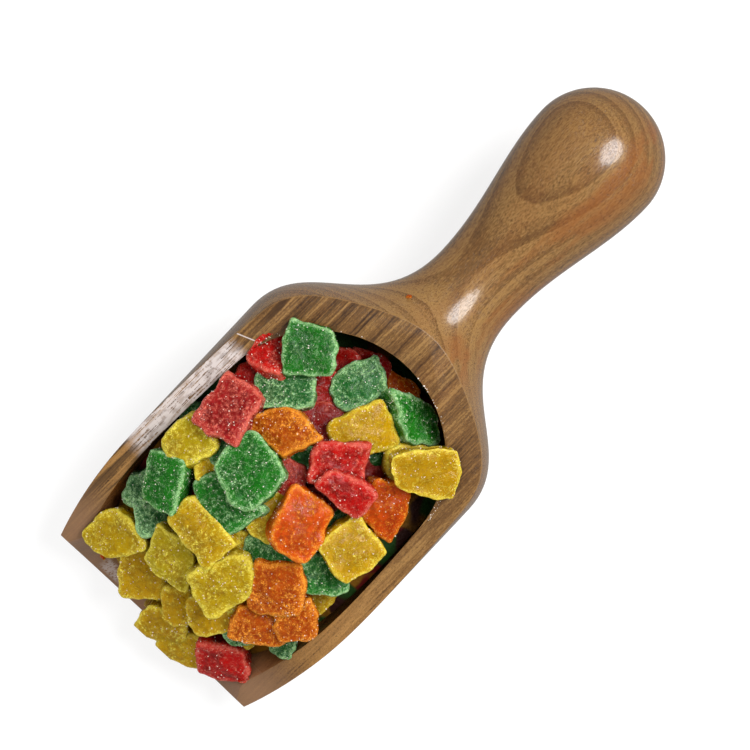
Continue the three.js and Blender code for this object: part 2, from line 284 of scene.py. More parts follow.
class Shader:
    """A material's node tree, with one method that makes any node."""

    def __init__(self, name: str) -> None:
        """Make an empty material with nodes.

        Args:
            name: The material's name.
        """
        self.material = bpy.data.materials.new(name)
        self.material.use_nodes = True
        self.tree = self.material.node_tree
        self.tree.nodes.clear()

    def node(
        self,
        kind: str,
        settings: Mapping[str, object] | None = None,
        inputs: Mapping[Union[str, int], Value] | None = None,
    ) -> bpy.types.Node:
        """Make a node.

        Args:
            kind: The node's type.
            settings: Its settings.
            inputs: The values or links of its sockets, by name or number.

        Returns:
            The new node.
        """
        node = self.tree.nodes.new(kind)
        for key, value in (settings or {}).items():
            setattr(node, key, value)
        for key, value in (inputs or {}).items():
            self.feed(node.inputs[key], value)
        return node

    def feed(self, socket: bpy.types.NodeSocket, value: Value) -> None:
        """Link a signal to a socket, or set the socket to a value.

        Args:
            socket: An input socket.
            value: What stands on it.
        """
        if isinstance(value, Signal):
            self.tree.links.new(value.socket, socket)
        elif isinstance(value, bpy.types.NodeSocket):
            self.tree.links.new(value, socket)
        elif socket.type == "RGBA":
            socket.default_value = (*value, 1.0)
        else:
            socket.default_value = value

    def signal(self, socket: bpy.types.NodeSocket) -> Signal:
        """Wrap an output socket for use in expressions."""
        return Signal(self, socket)

    def millimetres(self) -> tuple[Signal, Signal, Signal]:
        """Return the object coordinates x, y and z, in millimetres."""
        coordinates = self.node("ShaderNodeTexCoord")
        parts = self.node("ShaderNodeSeparateXYZ", inputs={0: coordinates.outputs["Object"]})
        return tuple(self.signal(output) * (1 / MM) for output in parts.outputs)

    def vector(self, x: Value, y: Value, z: Value) -> bpy.types.NodeSocket:
        """Join three numbers to a vector."""
        return self.node("ShaderNodeCombineXYZ", inputs={0: x, 1: y, 2: z}).outputs[0]

    def noise(self, vector: Value, scale: float, detail: float = 2, distortion: float = 0) -> Signal:
        """Return smooth noise from 0 to 1.

        Args:
            vector: Where to read it.
            scale: Its frequency in the vector's units.
            detail: How many finer layers it has.
            distortion: How much it swirls.

        Returns:
            The noise.
        """
        inputs = {"Vector": vector, "Scale": scale, "Detail": detail, "Distortion": distortion}
        return self.signal(self.node("ShaderNodeTexNoise", inputs=inputs).outputs[0])

    def grain(self, at: Sequence[Value], pitch: Point, detail: float) -> Signal:
        """Return noise from 0 to 1 that is drawn out along its first coordinate.

        Args:
            at: The coordinates along, across and up, in millimetres.
            pitch: Its frequency along, and across and up, per millimetre.
            detail: How many finer layers it has.

        Returns:
            The noise.
        """
        along, across, up = at
        vector = self.vector(along * pitch[0], across * pitch[1], up * pitch[1])
        return self.noise(vector, 1.0, detail)

    def cells(self, vector: Value, scale: float) -> Signal:
        """Return the distance to the nearest of scattered points."""
        node = self.node("ShaderNodeTexVoronoi", inputs={"Vector": vector, "Scale": scale})
        return self.signal(node.outputs["Distance"])

    def attribute(self, name: str) -> Signal:
        """Return a number stored on the piece's vertices or faces."""
        node = self.node("ShaderNodeAttribute", {"attribute_name": name})
        return self.signal(node.outputs["Fac"])

    def step(self, value: Signal, low: float, high: float) -> Signal:
        """Return a smooth step.

        Args:
            value: The number to test.
            low: Where the rise starts.
            high: Where it ends.

        Returns:
            0 below low, 1 above high and a smooth rise between them.
        """
        settings = {"interpolation_type": "SMOOTHSTEP"}
        inputs = {"Value": value, "From Min": low, "From Max": high}
        return self.signal(self.node("ShaderNodeMapRange", settings, inputs).outputs[0])

    def window(self, value: Signal, span: Span) -> Signal:
        """Return a smooth step up and a smooth step down again.

        Args:
            value: The number to test.
            span: Where the rise starts and ends, and where the fall starts and ends.

        Returns:
            1 inside the span and 0 outside it.
        """
        rise_start, rise_end, fall_start, fall_end = span
        return self.step(value, rise_start, rise_end) * (1.0 - self.step(value, fall_start, fall_end))

    def blend(self, share: Value, first: Value, second: Value) -> bpy.types.NodeSocket:
        """Mix two colours by a share from 0 to 1."""
        node = self.node("ShaderNodeMix", {"data_type": "RGBA"}, {0: share, 6: first, 7: second})
        return node.outputs[2]

    def bump(self, height: Signal, depth: float) -> bpy.types.NodeSocket:
        """Turn a height from 0 to 1 into a normal, with its full depth in millimetres."""
        inputs = {"Strength": 1.0, "Distance": depth * MM, "Height": height}
        return self.node("ShaderNodeBump", inputs=inputs).outputs[0]

    def finish(self, **inputs: Value) -> bpy.types.Material:
        """Close the material with a Principled BSDF.

        Args:
            **inputs: The shader's sockets, named with underscores for spaces.

        Returns:
            The material.
        """
        named = {key.replace("_", " "): value for key, value in inputs.items()}
        shader = self.node("ShaderNodeBsdfPrincipled", inputs=named)
        self.node("ShaderNodeOutputMaterial", inputs={"Surface": shader.outputs[0]})
        return self.material


@dataclass(frozen=True)
class Signal:
    """A number in a node tree, on which Python's operators add Math nodes."""

    shader: Shader
    socket: bpy.types.NodeSocket

    def math(self, operation: str, *others: Value, swap: bool = False) -> Signal:
        """Add a Math node on this number and others.

        Args:
            operation: The node's operation.
            *others: What stands on its further sockets.
            swap: Whether this number comes last.

        Returns:
            The result.
        """
        values = [*others, self] if swap else [self, *others]
        node = self.shader.node("ShaderNodeMath", {"operation": operation}, dict(enumerate(values)))
        return Signal(self.shader, node.outputs[0])

    def __add__(self, other: Value) -> Signal:
        """Return the sum."""
        return self.math("ADD", other)

    __radd__ = __add__

    def __mul__(self, other: Value) -> Signal:
        """Return the product."""
        return self.math("MULTIPLY", other)

    __rmul__ = __mul__

    def __sub__(self, other: Value) -> Signal:
        """Return the difference."""
        return self.math("SUBTRACT", other)

    def __rsub__(self, other: Value) -> Signal:
        """Return the difference the other way round."""
        return self.math("SUBTRACT", other, swap=True)

    def __truediv__(self, other: Value) -> Signal:
        """Return the quotient."""
        return self.math("DIVIDE", other)

    def __pow__(self, other: Value) -> Signal:
        """Return the power."""
        return self.math("POWER", other)


# ---------------------------------------------------------------- finishes


class WoodSpot:
    """A point of the wood's surface: where it lies, and which tool made its face."""

    def __init__(self, shader: Shader) -> None:
        """Read the point's place and the marks on its face.

        Args:
            shader: The material that is being made.
        """
        self.shader = shader
        self.at = shader.millimetres()
        self.station = self.at[0] - MOUTH_PLACE
        self.across = self.at[1]
        self.height = self.at[2] - AXIS_HEIGHT
        self.sawn = shader.attribute("sawn")
        self.bored = shader.attribute("bored")

    def by_cut(self, turned: float, sawn: float) -> Signal:
        """Return one number on turned and bored faces and another on sawn ones."""
        return self.sawn * (sawn - turned) + turned

    def grain(self, pitch: Point, detail: float) -> Signal:
        """Return noise drawn out along the fibres, all through the wood."""
        return self.shader.grain(self.at, pitch, detail)

    def flat_grain(self, pitch: Point, detail: float) -> Signal:
        """Return noise drawn out along the fibres, the same at every height."""
        return self.shader.grain((self.at[0], self.across, 0.0), pitch, detail)


@dataclass(frozen=True)
class SugarDust:
    """Sugar that lies on the lip at the left."""

    pitch: Point = (0.2, 1.9)
    levels: Point = (0.4, 0.5)
    along: Span = (0.4, 1.5, 4.0, 5.0)
    across: Span = (12.0, 15.0, 19.0, 22.0)
    cover: float = 0.5

    def share(self, spot: WoodSpot) -> Signal:
        """Return how much of the wood it hides.

        Args:
            spot: The point of the wood.

        Returns:
            The share, from 0 to 1.
        """
        shader = spot.shader
        grain = shader.grain((spot.station, spot.across, spot.height), self.pitch, 3)
        lip = shader.window(spot.station, self.along) * shader.window(spot.across, self.across)
        return shader.step(grain, *self.levels) * lip * self.cover


@dataclass(frozen=True)
class SugarAndSheenRim:
    """The left rim, pale between its dark fibres, partly from a film of sugar and partly a painted
    sheen, with one scratch across it.
    """

    along: Span = (30.0, 36.0, 70.0, 75.0)
    edge: Point = (33.0, 34.0)
    line_pitch: Point = (0.1, 2.4)
    scuff_pitch: Point = (1.6, 0.5)
    patch_pitch: Point = (0.3, 0.8)
    line_levels: Point = (0.74, 0.84)
    patch_levels: Point = (0.38, 0.56)
    patch_share: float = 0.45
    sugar_and_sheen_share: float = 0.85
    least_share: float = 0.05
    scratch_station: float = 91.2
    scratch_slope: float = 0.39
    scratch_levels: Point = (0.08, 0.24)
    scratch_share: float = 0.8

    def share(self, spot: WoodSpot) -> Signal:
        """Return how pale the rim is, from a film of sugar and from painted sheen.

        Args:
            spot: The point of the wood.

        Returns:
            The share of the pale colour, from 0 to 1.
        """
        shader = spot.shader
        at = (spot.station, spot.across, 0.0)
        lines = shader.grain(at, self.line_pitch, 2)
        scuffs = shader.grain(at, self.scuff_pitch, 1)
        patches = shader.step(shader.grain(at, self.patch_pitch, 2), *self.patch_levels)
        sugar_and_sheen = 1.0 - shader.step(lines + scuffs * 0.4, *self.line_levels)
        sugar_and_sheen = sugar_and_sheen * (patches * self.patch_share + (1.0 - self.patch_share))
        scratch = spot.station + spot.across * self.scratch_slope - self.scratch_station
        scratch = 1.0 - shader.step(scratch.math("ABSOLUTE"), *self.scratch_levels)
        area = shader.window(spot.station, self.along)
        pale = area * (sugar_and_sheen * self.sugar_and_sheen_share + self.least_share) + scratch * self.scratch_share
        return pale * shader.step(spot.across, *self.edge)


@dataclass(frozen=True)
class WoodFinish:
    """Lacquered brown wood, with growth rings about a pith below and beside the scoop.

    A pitch is a pattern's frequency along and across the fibres, per millimetre. A pair of levels
    is where a smooth step starts and ends. A pair by cut holds for turned and for sawn faces. An
    edge is such a step across the scoop, and a front, an end or a span lies along it, unless its
    note says otherwise.
    """

    light: Colour = srgb(130, 97, 54)
    middle: Colour = srgb(92, 63, 31)
    dark: Colour = srgb(46, 28, 12)
    sapwood: Colour = srgb(176, 128, 68)
    warm: Colour = srgb(122, 67, 24)
    # Painted light: the lighter colour of the front of the scoop near the mouth.
    lip_painted_light: Colour = srgb(136, 102, 74)
    # The colour of the sugar on the lip and of the sugar and painted sheen on the left rim.
    sugar_dust_and_sheen: Colour = srgb(190, 180, 176)

    pith_across: float = -30.0
    pith_height: float = -55.0
    ring_width: float = 3.7
    ring_start: float = 3.05
    ring_drift: float = 3.0
    ring_wobble: float = 0.5
    ring_fade: float = 1.4
    ring_rise: float = 0.07

    drift_pitch: Point = (0.012, 0.03)
    wobble_pitch: Point = (0.06, 0.3)
    band_pitch: Point = (0.006, 1.3)
    fibre_pitch: Point = (0.22, 2.0)
    fine_pitch: Point = (0.9, 4.2)
    line_pitch: Point = (0.07, 1.7)
    glow_pitch: Point = (0.01, 0.2)
    pore_pitch: Point = (0.8, 4.6)
    bar_pitch: Point = (0.03, 0.75)

    glow_levels: Point = (0.4, 0.62)
    pore_levels: Point = (0.56, 0.68)
    bar_levels: Point = (0.5, 0.6)
    middle_levels: Point = (0.35, 0.8)
    dark_levels: Point = (0.74, 1.2)

    ring_tones: Point = (0.15, 0.12)
    fibre_tone: float = 0.55
    bored_tone: float = 0.3
    rim_tone: float = 0.16
    rim_back_share: float = 0.6
    # How much lighter the painted sheen makes the turned neck.
    neck_sheen_tone: float = 0.1
    band_by_cut: Point = (0.3, 1.1)
    fine_by_cut: Point = (0.9, 0.55)
    line_by_cut: Point = (0.0, 1.1)
    start_by_cut: Point = (-0.37, -1.03)
    warm_by_cut: Point = (1.0, 0.25)
    pore_by_cut: Point = (0.55, 0.45)
    roughness_by_cut: Point = (0.19, 0.33)
    coat_by_cut: Point = (0.22, 0.06)

    ring_edge: Point = (-16.0, -4.0)
    right_edge: Point = (-24.0, -6.0)
    left_edge: Point = (24.0, 32.0)
    bar_edge: Point = (2.0, 16.0)
    dark_front: Point = (10.0, 28.0)
    dark_back: Point = (76.0, 96.0)
    pale_front: Point = (10.0, 26.0)
    pale_right_end: Point = (30.0, 76.0)
    pale_left_end: Point = (26.0, 42.0)
    pale_left_share: float = 1.2
    sapwood_share: float = 0.4
    # Where the painted streak of warm bounce light lies across the handle.
    bounce_streak_across: Span = (-19.0, -11.0, -7.0, -1.0)
    neck_sheen_span: Span = (98.0, 112.0, 124.0, 142.0)
    lip_span: Span = (-1.0, 0.0, 4.0, 22.0)
    ridge_span: Span = (78.0, 86.0, 96.0, 108.0)
    ridge_pitch: float = 7.0

    bar_share: float = 0.7
    lip_light_share: float = 0.7
    # How much lighter the painted highlight on the back edge of the rim is.
    worn_share: float = 0.4
    dust_and_sheen_roughness: float = 0.3
    lip_roughness: float = 0.12
    relief_depth: float = 0.06
    coat_roughness: float = 0.08
    specular: float = 0.36

    def material(self) -> bpy.types.Material:
        """Return the wood's material."""
        shader = Shader("turned_wood")
        spot = WoodSpot(shader)
        fine = spot.grain(self.fine_pitch, 2)
        pores = shader.step(spot.grain(self.pore_pitch, 1), *self.pore_levels)
        lip = shader.window(spot.station, self.lip_span)
        # Sugar on the lip, and on the left rim a pale that is partly a film of sugar and partly painted
        # sheen.
        dust_and_sheen = SugarDust().share(spot) * spot.bored + SugarAndSheenRim().share(spot) * spot.sawn
        base = self._base(spot, self._tone(spot, fine))
        # Warm patches in the wood and the bore, with a painted streak of warm bounce light along the
        # right of the handle.
        base = shader.blend(self._warmth_and_bounce(spot), base, self.warm)
        base = shader.blend(pores * spot.by_cut(*self.pore_by_cut), base, self.dark)
        base = shader.blend(self._bars(spot), base, self.dark)
        # Painted light: the front of the scoop near the mouth is lighter, as if lit from the front.
        base = shader.blend(lip * self.lip_light_share, base, self.lip_painted_light)
        # Painted highlight along the outer edge of the sawn rim at the back.
        base = shader.blend(shader.attribute("worn") * self.worn_share, base, self.light)
        base = shader.blend(dust_and_sheen, base, self.sugar_dust_and_sheen)
        relief = pores * -0.5 + fine * 0.4 + dust_and_sheen * 0.3 + self._ridges(spot) * 0.2
        roughness = spot.by_cut(*self.roughness_by_cut) + dust_and_sheen * self.dust_and_sheen_roughness
        return shader.finish(
            Base_Color=base,
            Roughness=roughness + lip * self.lip_roughness,
            Normal=shader.bump(relief, self.relief_depth),
            Coat_Weight=spot.by_cut(*self.coat_by_cut),
            Coat_Roughness=self.coat_roughness,
            Specular_IOR_Level=self.specular,
        )

    def _tone(self, spot: WoodSpot, fine: Signal) -> Signal:
        """Return how dark the wood is, from its rings, bands and fibres, with a painted sheen on the
        turned neck.

        Args:
            spot: The point of the wood.
            fine: The finest of its fibres.

        Returns:
            The tone, from about 0 where it is lightest to above 1 where it is darkest.
        """
        shader = spot.shader
        side = spot.across - self.pith_across
        depth = spot.height * spot.by_cut(1.0, 0.0) - self.pith_height
        drift = spot.grain(self.drift_pitch, 1) * self.ring_drift
        wobble = spot.grain(self.wobble_pitch, 2) * self.ring_wobble
        radius = (side * side + depth * depth).math("SQRT") + drift + wobble - self.ring_start
        growth = (radius / self.ring_width).math("FRACT")
        season = (1.0 - growth) ** self.ring_fade * shader.step(growth, 0.0, self.ring_rise)
        least, more = self.ring_tones
        tone = season * (shader.step(spot.across, *self.ring_edge) * more + least)
        bands = shader.grain((spot.at[0], radius, 0.0), self.band_pitch, 2)
        tone = tone + bands * spot.by_cut(*self.band_by_cut)
        tone = tone + spot.grain(self.fibre_pitch, 3) * self.fibre_tone
        tone = tone + fine * spot.by_cut(*self.fine_by_cut)
        tone = tone + spot.flat_grain(self.line_pitch, 2) * spot.by_cut(*self.line_by_cut)
        tone = tone + spot.bored * self.bored_tone + spot.by_cut(*self.start_by_cut)
        back = shader.step(spot.station, *self.dark_back) * self.rim_back_share
        ends = 1.0 - shader.step(spot.station, *self.dark_front) + back
        tone = tone + spot.sawn * self._right(spot) * ends * self.rim_tone
        # Painted sheen: the turned neck is lighter beside the key light's highlight.
        waist = shader.window(spot.station, self.neck_sheen_span)
        return tone - spot.by_cut(self.neck_sheen_tone, 0.0) * waist

    def _right(self, spot: WoodSpot) -> Signal:
        """Return 1 at the right of the scoop and 0 elsewhere."""
        return 1.0 - spot.shader.step(spot.across, *self.right_edge)

    def _base(self, spot: WoodSpot, tone: Signal) -> bpy.types.NodeSocket:
        """Turn the tone to brown, with sapwood along the sides of the saw cut.

        Args:
            spot: The point of the wood.
            tone: How dark the wood is there.

        Returns:
            The colour.
        """
        shader = spot.shader
        base = shader.blend(shader.step(tone, *self.middle_levels), self.light, self.middle)
        left = shader.step(spot.across, *self.left_edge) * self.pale_left_share
        left = left * (1.0 - shader.step(spot.station, *self.pale_left_end))
        right = self._right(spot) * (1.0 - shader.step(spot.station, *self.pale_right_end))
        pale = spot.sawn * (right + left) * shader.step(spot.station, *self.pale_front)
        base = shader.blend(pale * self.sapwood_share, base, self.sapwood)
        return shader.blend(shader.step(tone, *self.dark_levels), base, self.dark)

    def _warmth_and_bounce(self, spot: WoodSpot) -> Signal:
        """Return how warm the wood is: warmer in the bore, with a painted streak of warm bounce light
        along the handle.

        Args:
            spot: The point of the wood.

        Returns:
            The share of the warm colour, from 0 to 1.
        """
        glow = spot.shader.step(spot.grain(self.glow_pitch, 2), *self.glow_levels)
        bounce_streak = spot.shader.window(spot.across, self.bounce_streak_across)
        return glow * (bounce_streak * 0.4 + spot.bored * 0.5 + 0.1) * spot.by_cut(*self.warm_by_cut)

    def _bars(self, spot: WoodSpot) -> Signal:
        """Return how much of the dark bars in the left half of the saw cut shows."""
        bars = spot.shader.step(spot.flat_grain(self.bar_pitch, 2), *self.bar_levels)
        return bars * spot.sawn * spot.shader.step(spot.across, *self.bar_edge) * self.bar_share

    def _ridges(self, spot: WoodSpot) -> Signal:
        """Return the ridges that the lathe left on the shoulder.

        Args:
            spot: The point of the wood.

        Returns:
            Their height, from -1 to 1, and 0 elsewhere.
        """
        turned = (1.0 - spot.sawn) * (1.0 - spot.bored)
        waves = (spot.station * self.ridge_pitch).math("SINE")
        return waves * turned * spot.shader.window(spot.station, self.ridge_span)


class Kind(Enum):
    """The kinds of candied fruit, each with its deep colour, its two usual ones and its pale one."""

    GREEN = ("green", srgb(4, 52, 8), srgb(20, 98, 14), srgb(28, 80, 36), srgb(160, 200, 142))
    RED = ("red", srgb(84, 1, 1), srgb(162, 6, 3), srgb(132, 14, 16), srgb(206, 104, 86))
    ORANGE = ("orange", srgb(122, 34, 0), srgb(176, 62, 0), srgb(146, 62, 0), srgb(228, 148, 44))
    YELLOW = ("yellow", srgb(126, 90, 0), srgb(166, 127, 0), srgb(150, 129, 0), srgb(222, 207, 80))

    def __init__(self, label: str, deep: Colour, usual: Colour, other: Colour, pale: Colour) -> None:
        """Name the kind's values.

        Args:
            label: Its name in its piece and its material.
            deep: The colour where one sees far into it, and of the painted shade deep in the heap.
            usual: Its colour in most blocks.
            other: Its colour in frosted blocks.
            pale: Its colour under a crust of sugar.
        """
        self.label = label
        self.deep = deep
        self.usual = usual
        self.other = other
        self.pale = pale


@dataclass(frozen=True)
class FruitFinish:
    """Translucent candied fruit with a crust of fine sugar.

    A pitch is a pattern's frequency per millimetre, and a pair of levels is where a smooth step
    starts and ends.
    """

    kind: Kind
    cloud_pitch: float = 0.16
    flesh_pitch: float = 0.5
    flesh_swirl: float = 0.8
    fine_pitch: float = 2.4
    crust_pitch: float = 0.9
    coarse_pitch: float = 0.9
    fold_pitch: float = 0.34
    fold_swirl: float = 0.7
    shade_levels: Point = (0.3, 0.9)
    depth_levels: Point = (0.42, 0.66)
    rind_levels: Point = (1.1, 1.45)
    cover_levels: Point = (0.6, 0.84)
    speck_levels: Point = (0.58, 0.68)
    coarse_levels: Point = (0.12, 0.3)
    vein_levels: Point = (0.012, 0.04)
    depth_share: float = 0.72
    # How far the painted shade deep in the heap takes the fruit towards its deep colour.
    painted_shade_share: float = 0.82
    roughness: Point = (0.14, 0.2)
    relief_depth: float = 0.3
    specular: float = 0.18
    glow: float = 0.4
    glow_colour: Colour = (1.0, 0.8, 0.3)
    glow_depth: float = 2.0

    def material(self) -> bpy.types.Material:
        """Return the fruit's material."""
        shader = Shader(f"candied_{self.kind.label}")
        at = shader.vector(*shader.millimetres())
        cloud = shader.noise(at, self.cloud_pitch, 2)
        fine = shader.noise(at, self.fine_pitch, 2)
        crust = shader.noise(at, self.crust_pitch, 3)
        edge = shader.attribute("edge")
        shade = shader.attribute("shade")
        flesh = self._flesh(shader, at, cloud * 0.5 - edge * 0.25, shade)
        rind = shader.step(edge + fine * 1.2, *self.rind_levels)
        flesh = shader.blend(rind * (crust * 1.3 - 0.2), flesh, self.kind.pale)
        cover = crust * 0.8 + cloud * 0.4 + edge * 0.12 + shade * 0.1
        cover = shader.step(cover, *self.cover_levels)
        specks = shader.step(fine + cover * 0.08, *self.speck_levels)
        coarse = 1.0 - shader.step(shader.cells(at, self.coarse_pitch), *self.coarse_levels)
        folds = shader.noise(at, self.fold_pitch, 2, self.fold_swirl) - 0.5
        veins = 1.0 - shader.step(folds.math("ABSOLUTE") + fine * 0.03, *self.vein_levels)
        frost = specks * (cover * 0.5 + 0.24) + coarse * cover * 0.3 + cover * (shade * 0.1 + 0.12)
        frost = frost + veins * (cover * 0.4 + 0.2)
        base = shader.blend(frost, flesh, self.kind.pale)
        # Painted shade: the deeper a vertex lies in the heap, the nearer it comes to the deep colour.
        base = shader.blend(shader.attribute("painted_shade") * self.painted_shade_share, base, self.kind.deep)
        relief = specks * 0.35 + fine * 0.5 + coarse * 0.3 + crust * 0.5 + veins * 0.5
        smooth, crusted = self.roughness
        return shader.finish(
            Base_Color=base,
            Roughness=cover * crusted + smooth,
            Normal=shader.bump(relief, self.relief_depth),
            Specular_IOR_Level=self.specular,
            Subsurface_Weight=self.glow,
            Subsurface_Radius=self.glow_colour,
            Subsurface_Scale=self.glow_depth * MM,
        )

    def _flesh(
        self, shader: Shader, at: bpy.types.NodeSocket, cloud: Signal, shade: Signal
    ) -> bpy.types.NodeSocket:
        """Return the colour of the fruit under its sugar, deeper where one sees further into it.

        Args:
            shader: The material that is being made.
            at: The point, in millimetres.
            cloud: What clouds the fruit there.
            shade: The block's shade, from -1 to 1.

        Returns:
            The colour.
        """
        flesh = shader.blend(shader.step(shade, *self.shade_levels), self.kind.usual, self.kind.other)
        # A negative shade takes a block towards its deep colour: partly its own colour, partly painted
        # shade.
        flesh = shader.blend(shader.step(shade, -1.0, 0.0), self.kind.deep, flesh)
        swirls = shader.noise(at, self.flesh_pitch, 3, self.flesh_swirl)
        depth = shader.step(swirls * 0.6 + cloud, *self.depth_levels)
        return shader.blend(depth * self.depth_share, flesh, self.kind.deep)


@dataclass(frozen=True)
class CoreFinish:
    """The inside of the heap, painted dark for the shade between the blocks, with painted shade in the
    colours of the fruit deeper down.
    """

    dark: Colour = srgb(34, 14, 10)
    shaded_fruit_colours: tuple[Colour, ...] = (srgb(70, 12, 10), srgb(92, 60, 8), srgb(22, 48, 14))
    shaded_fruit_pitch: float = 0.09
    shaded_fruit_levels: Point = (0.5, 0.56)
    shaded_fruit_apart: float = 40.0
    grain_pitch: float = 0.9
    roughness: float = 0.6
    relief_depth: float = 0.6
    specular: float = 0.1

    def material(self) -> bpy.types.Material:
        """Return the core's material."""
        shader = Shader("heap_inside_shade")
        x, y, z = shader.millimetres()
        base: Value = self.dark
        # Patches of painted shade in the colours of the fruit.
        for number, shaded_colour in enumerate(self.shaded_fruit_colours):
            at = shader.vector(x, y, z + number * self.shaded_fruit_apart)
            patch = shader.step(shader.noise(at, self.shaded_fruit_pitch, 1), *self.shaded_fruit_levels)
            base = shader.blend(patch, base, shaded_colour)
        grain = shader.noise(shader.vector(x, y, z), self.grain_pitch, 3)
        return shader.finish(
            Base_Color=base,
            Roughness=self.roughness,
            Normal=shader.bump(grain, self.relief_depth),
            Specular_IOR_Level=self.specular,
        )


@dataclass(frozen=True)
class SugarFinish:
    """Loose grains of sugar."""

    white: Colour = srgb(248, 244, 236)
    warm: Colour = srgb(244, 226, 206)
    pitch: float = 0.6
    roughness: Point = (0.15, 0.2)
    clear: float = 0.2
    refraction: float = 1.5

    def material(self) -> bpy.types.Material:
        """Return the grains' material."""
        shader = Shader("sugar_crystal")
        tone = shader.noise(shader.vector(*shader.millimetres()), self.pitch, 1)
        smooth, rough = self.roughness
        return shader.finish(
            Base_Color=shader.blend(tone, self.white, self.warm),
            Roughness=tone * rough + smooth,
            Transmission_Weight=self.clear,
            IOR=self.refraction,
        )


# ---------------------------------------------------------------- the scoop


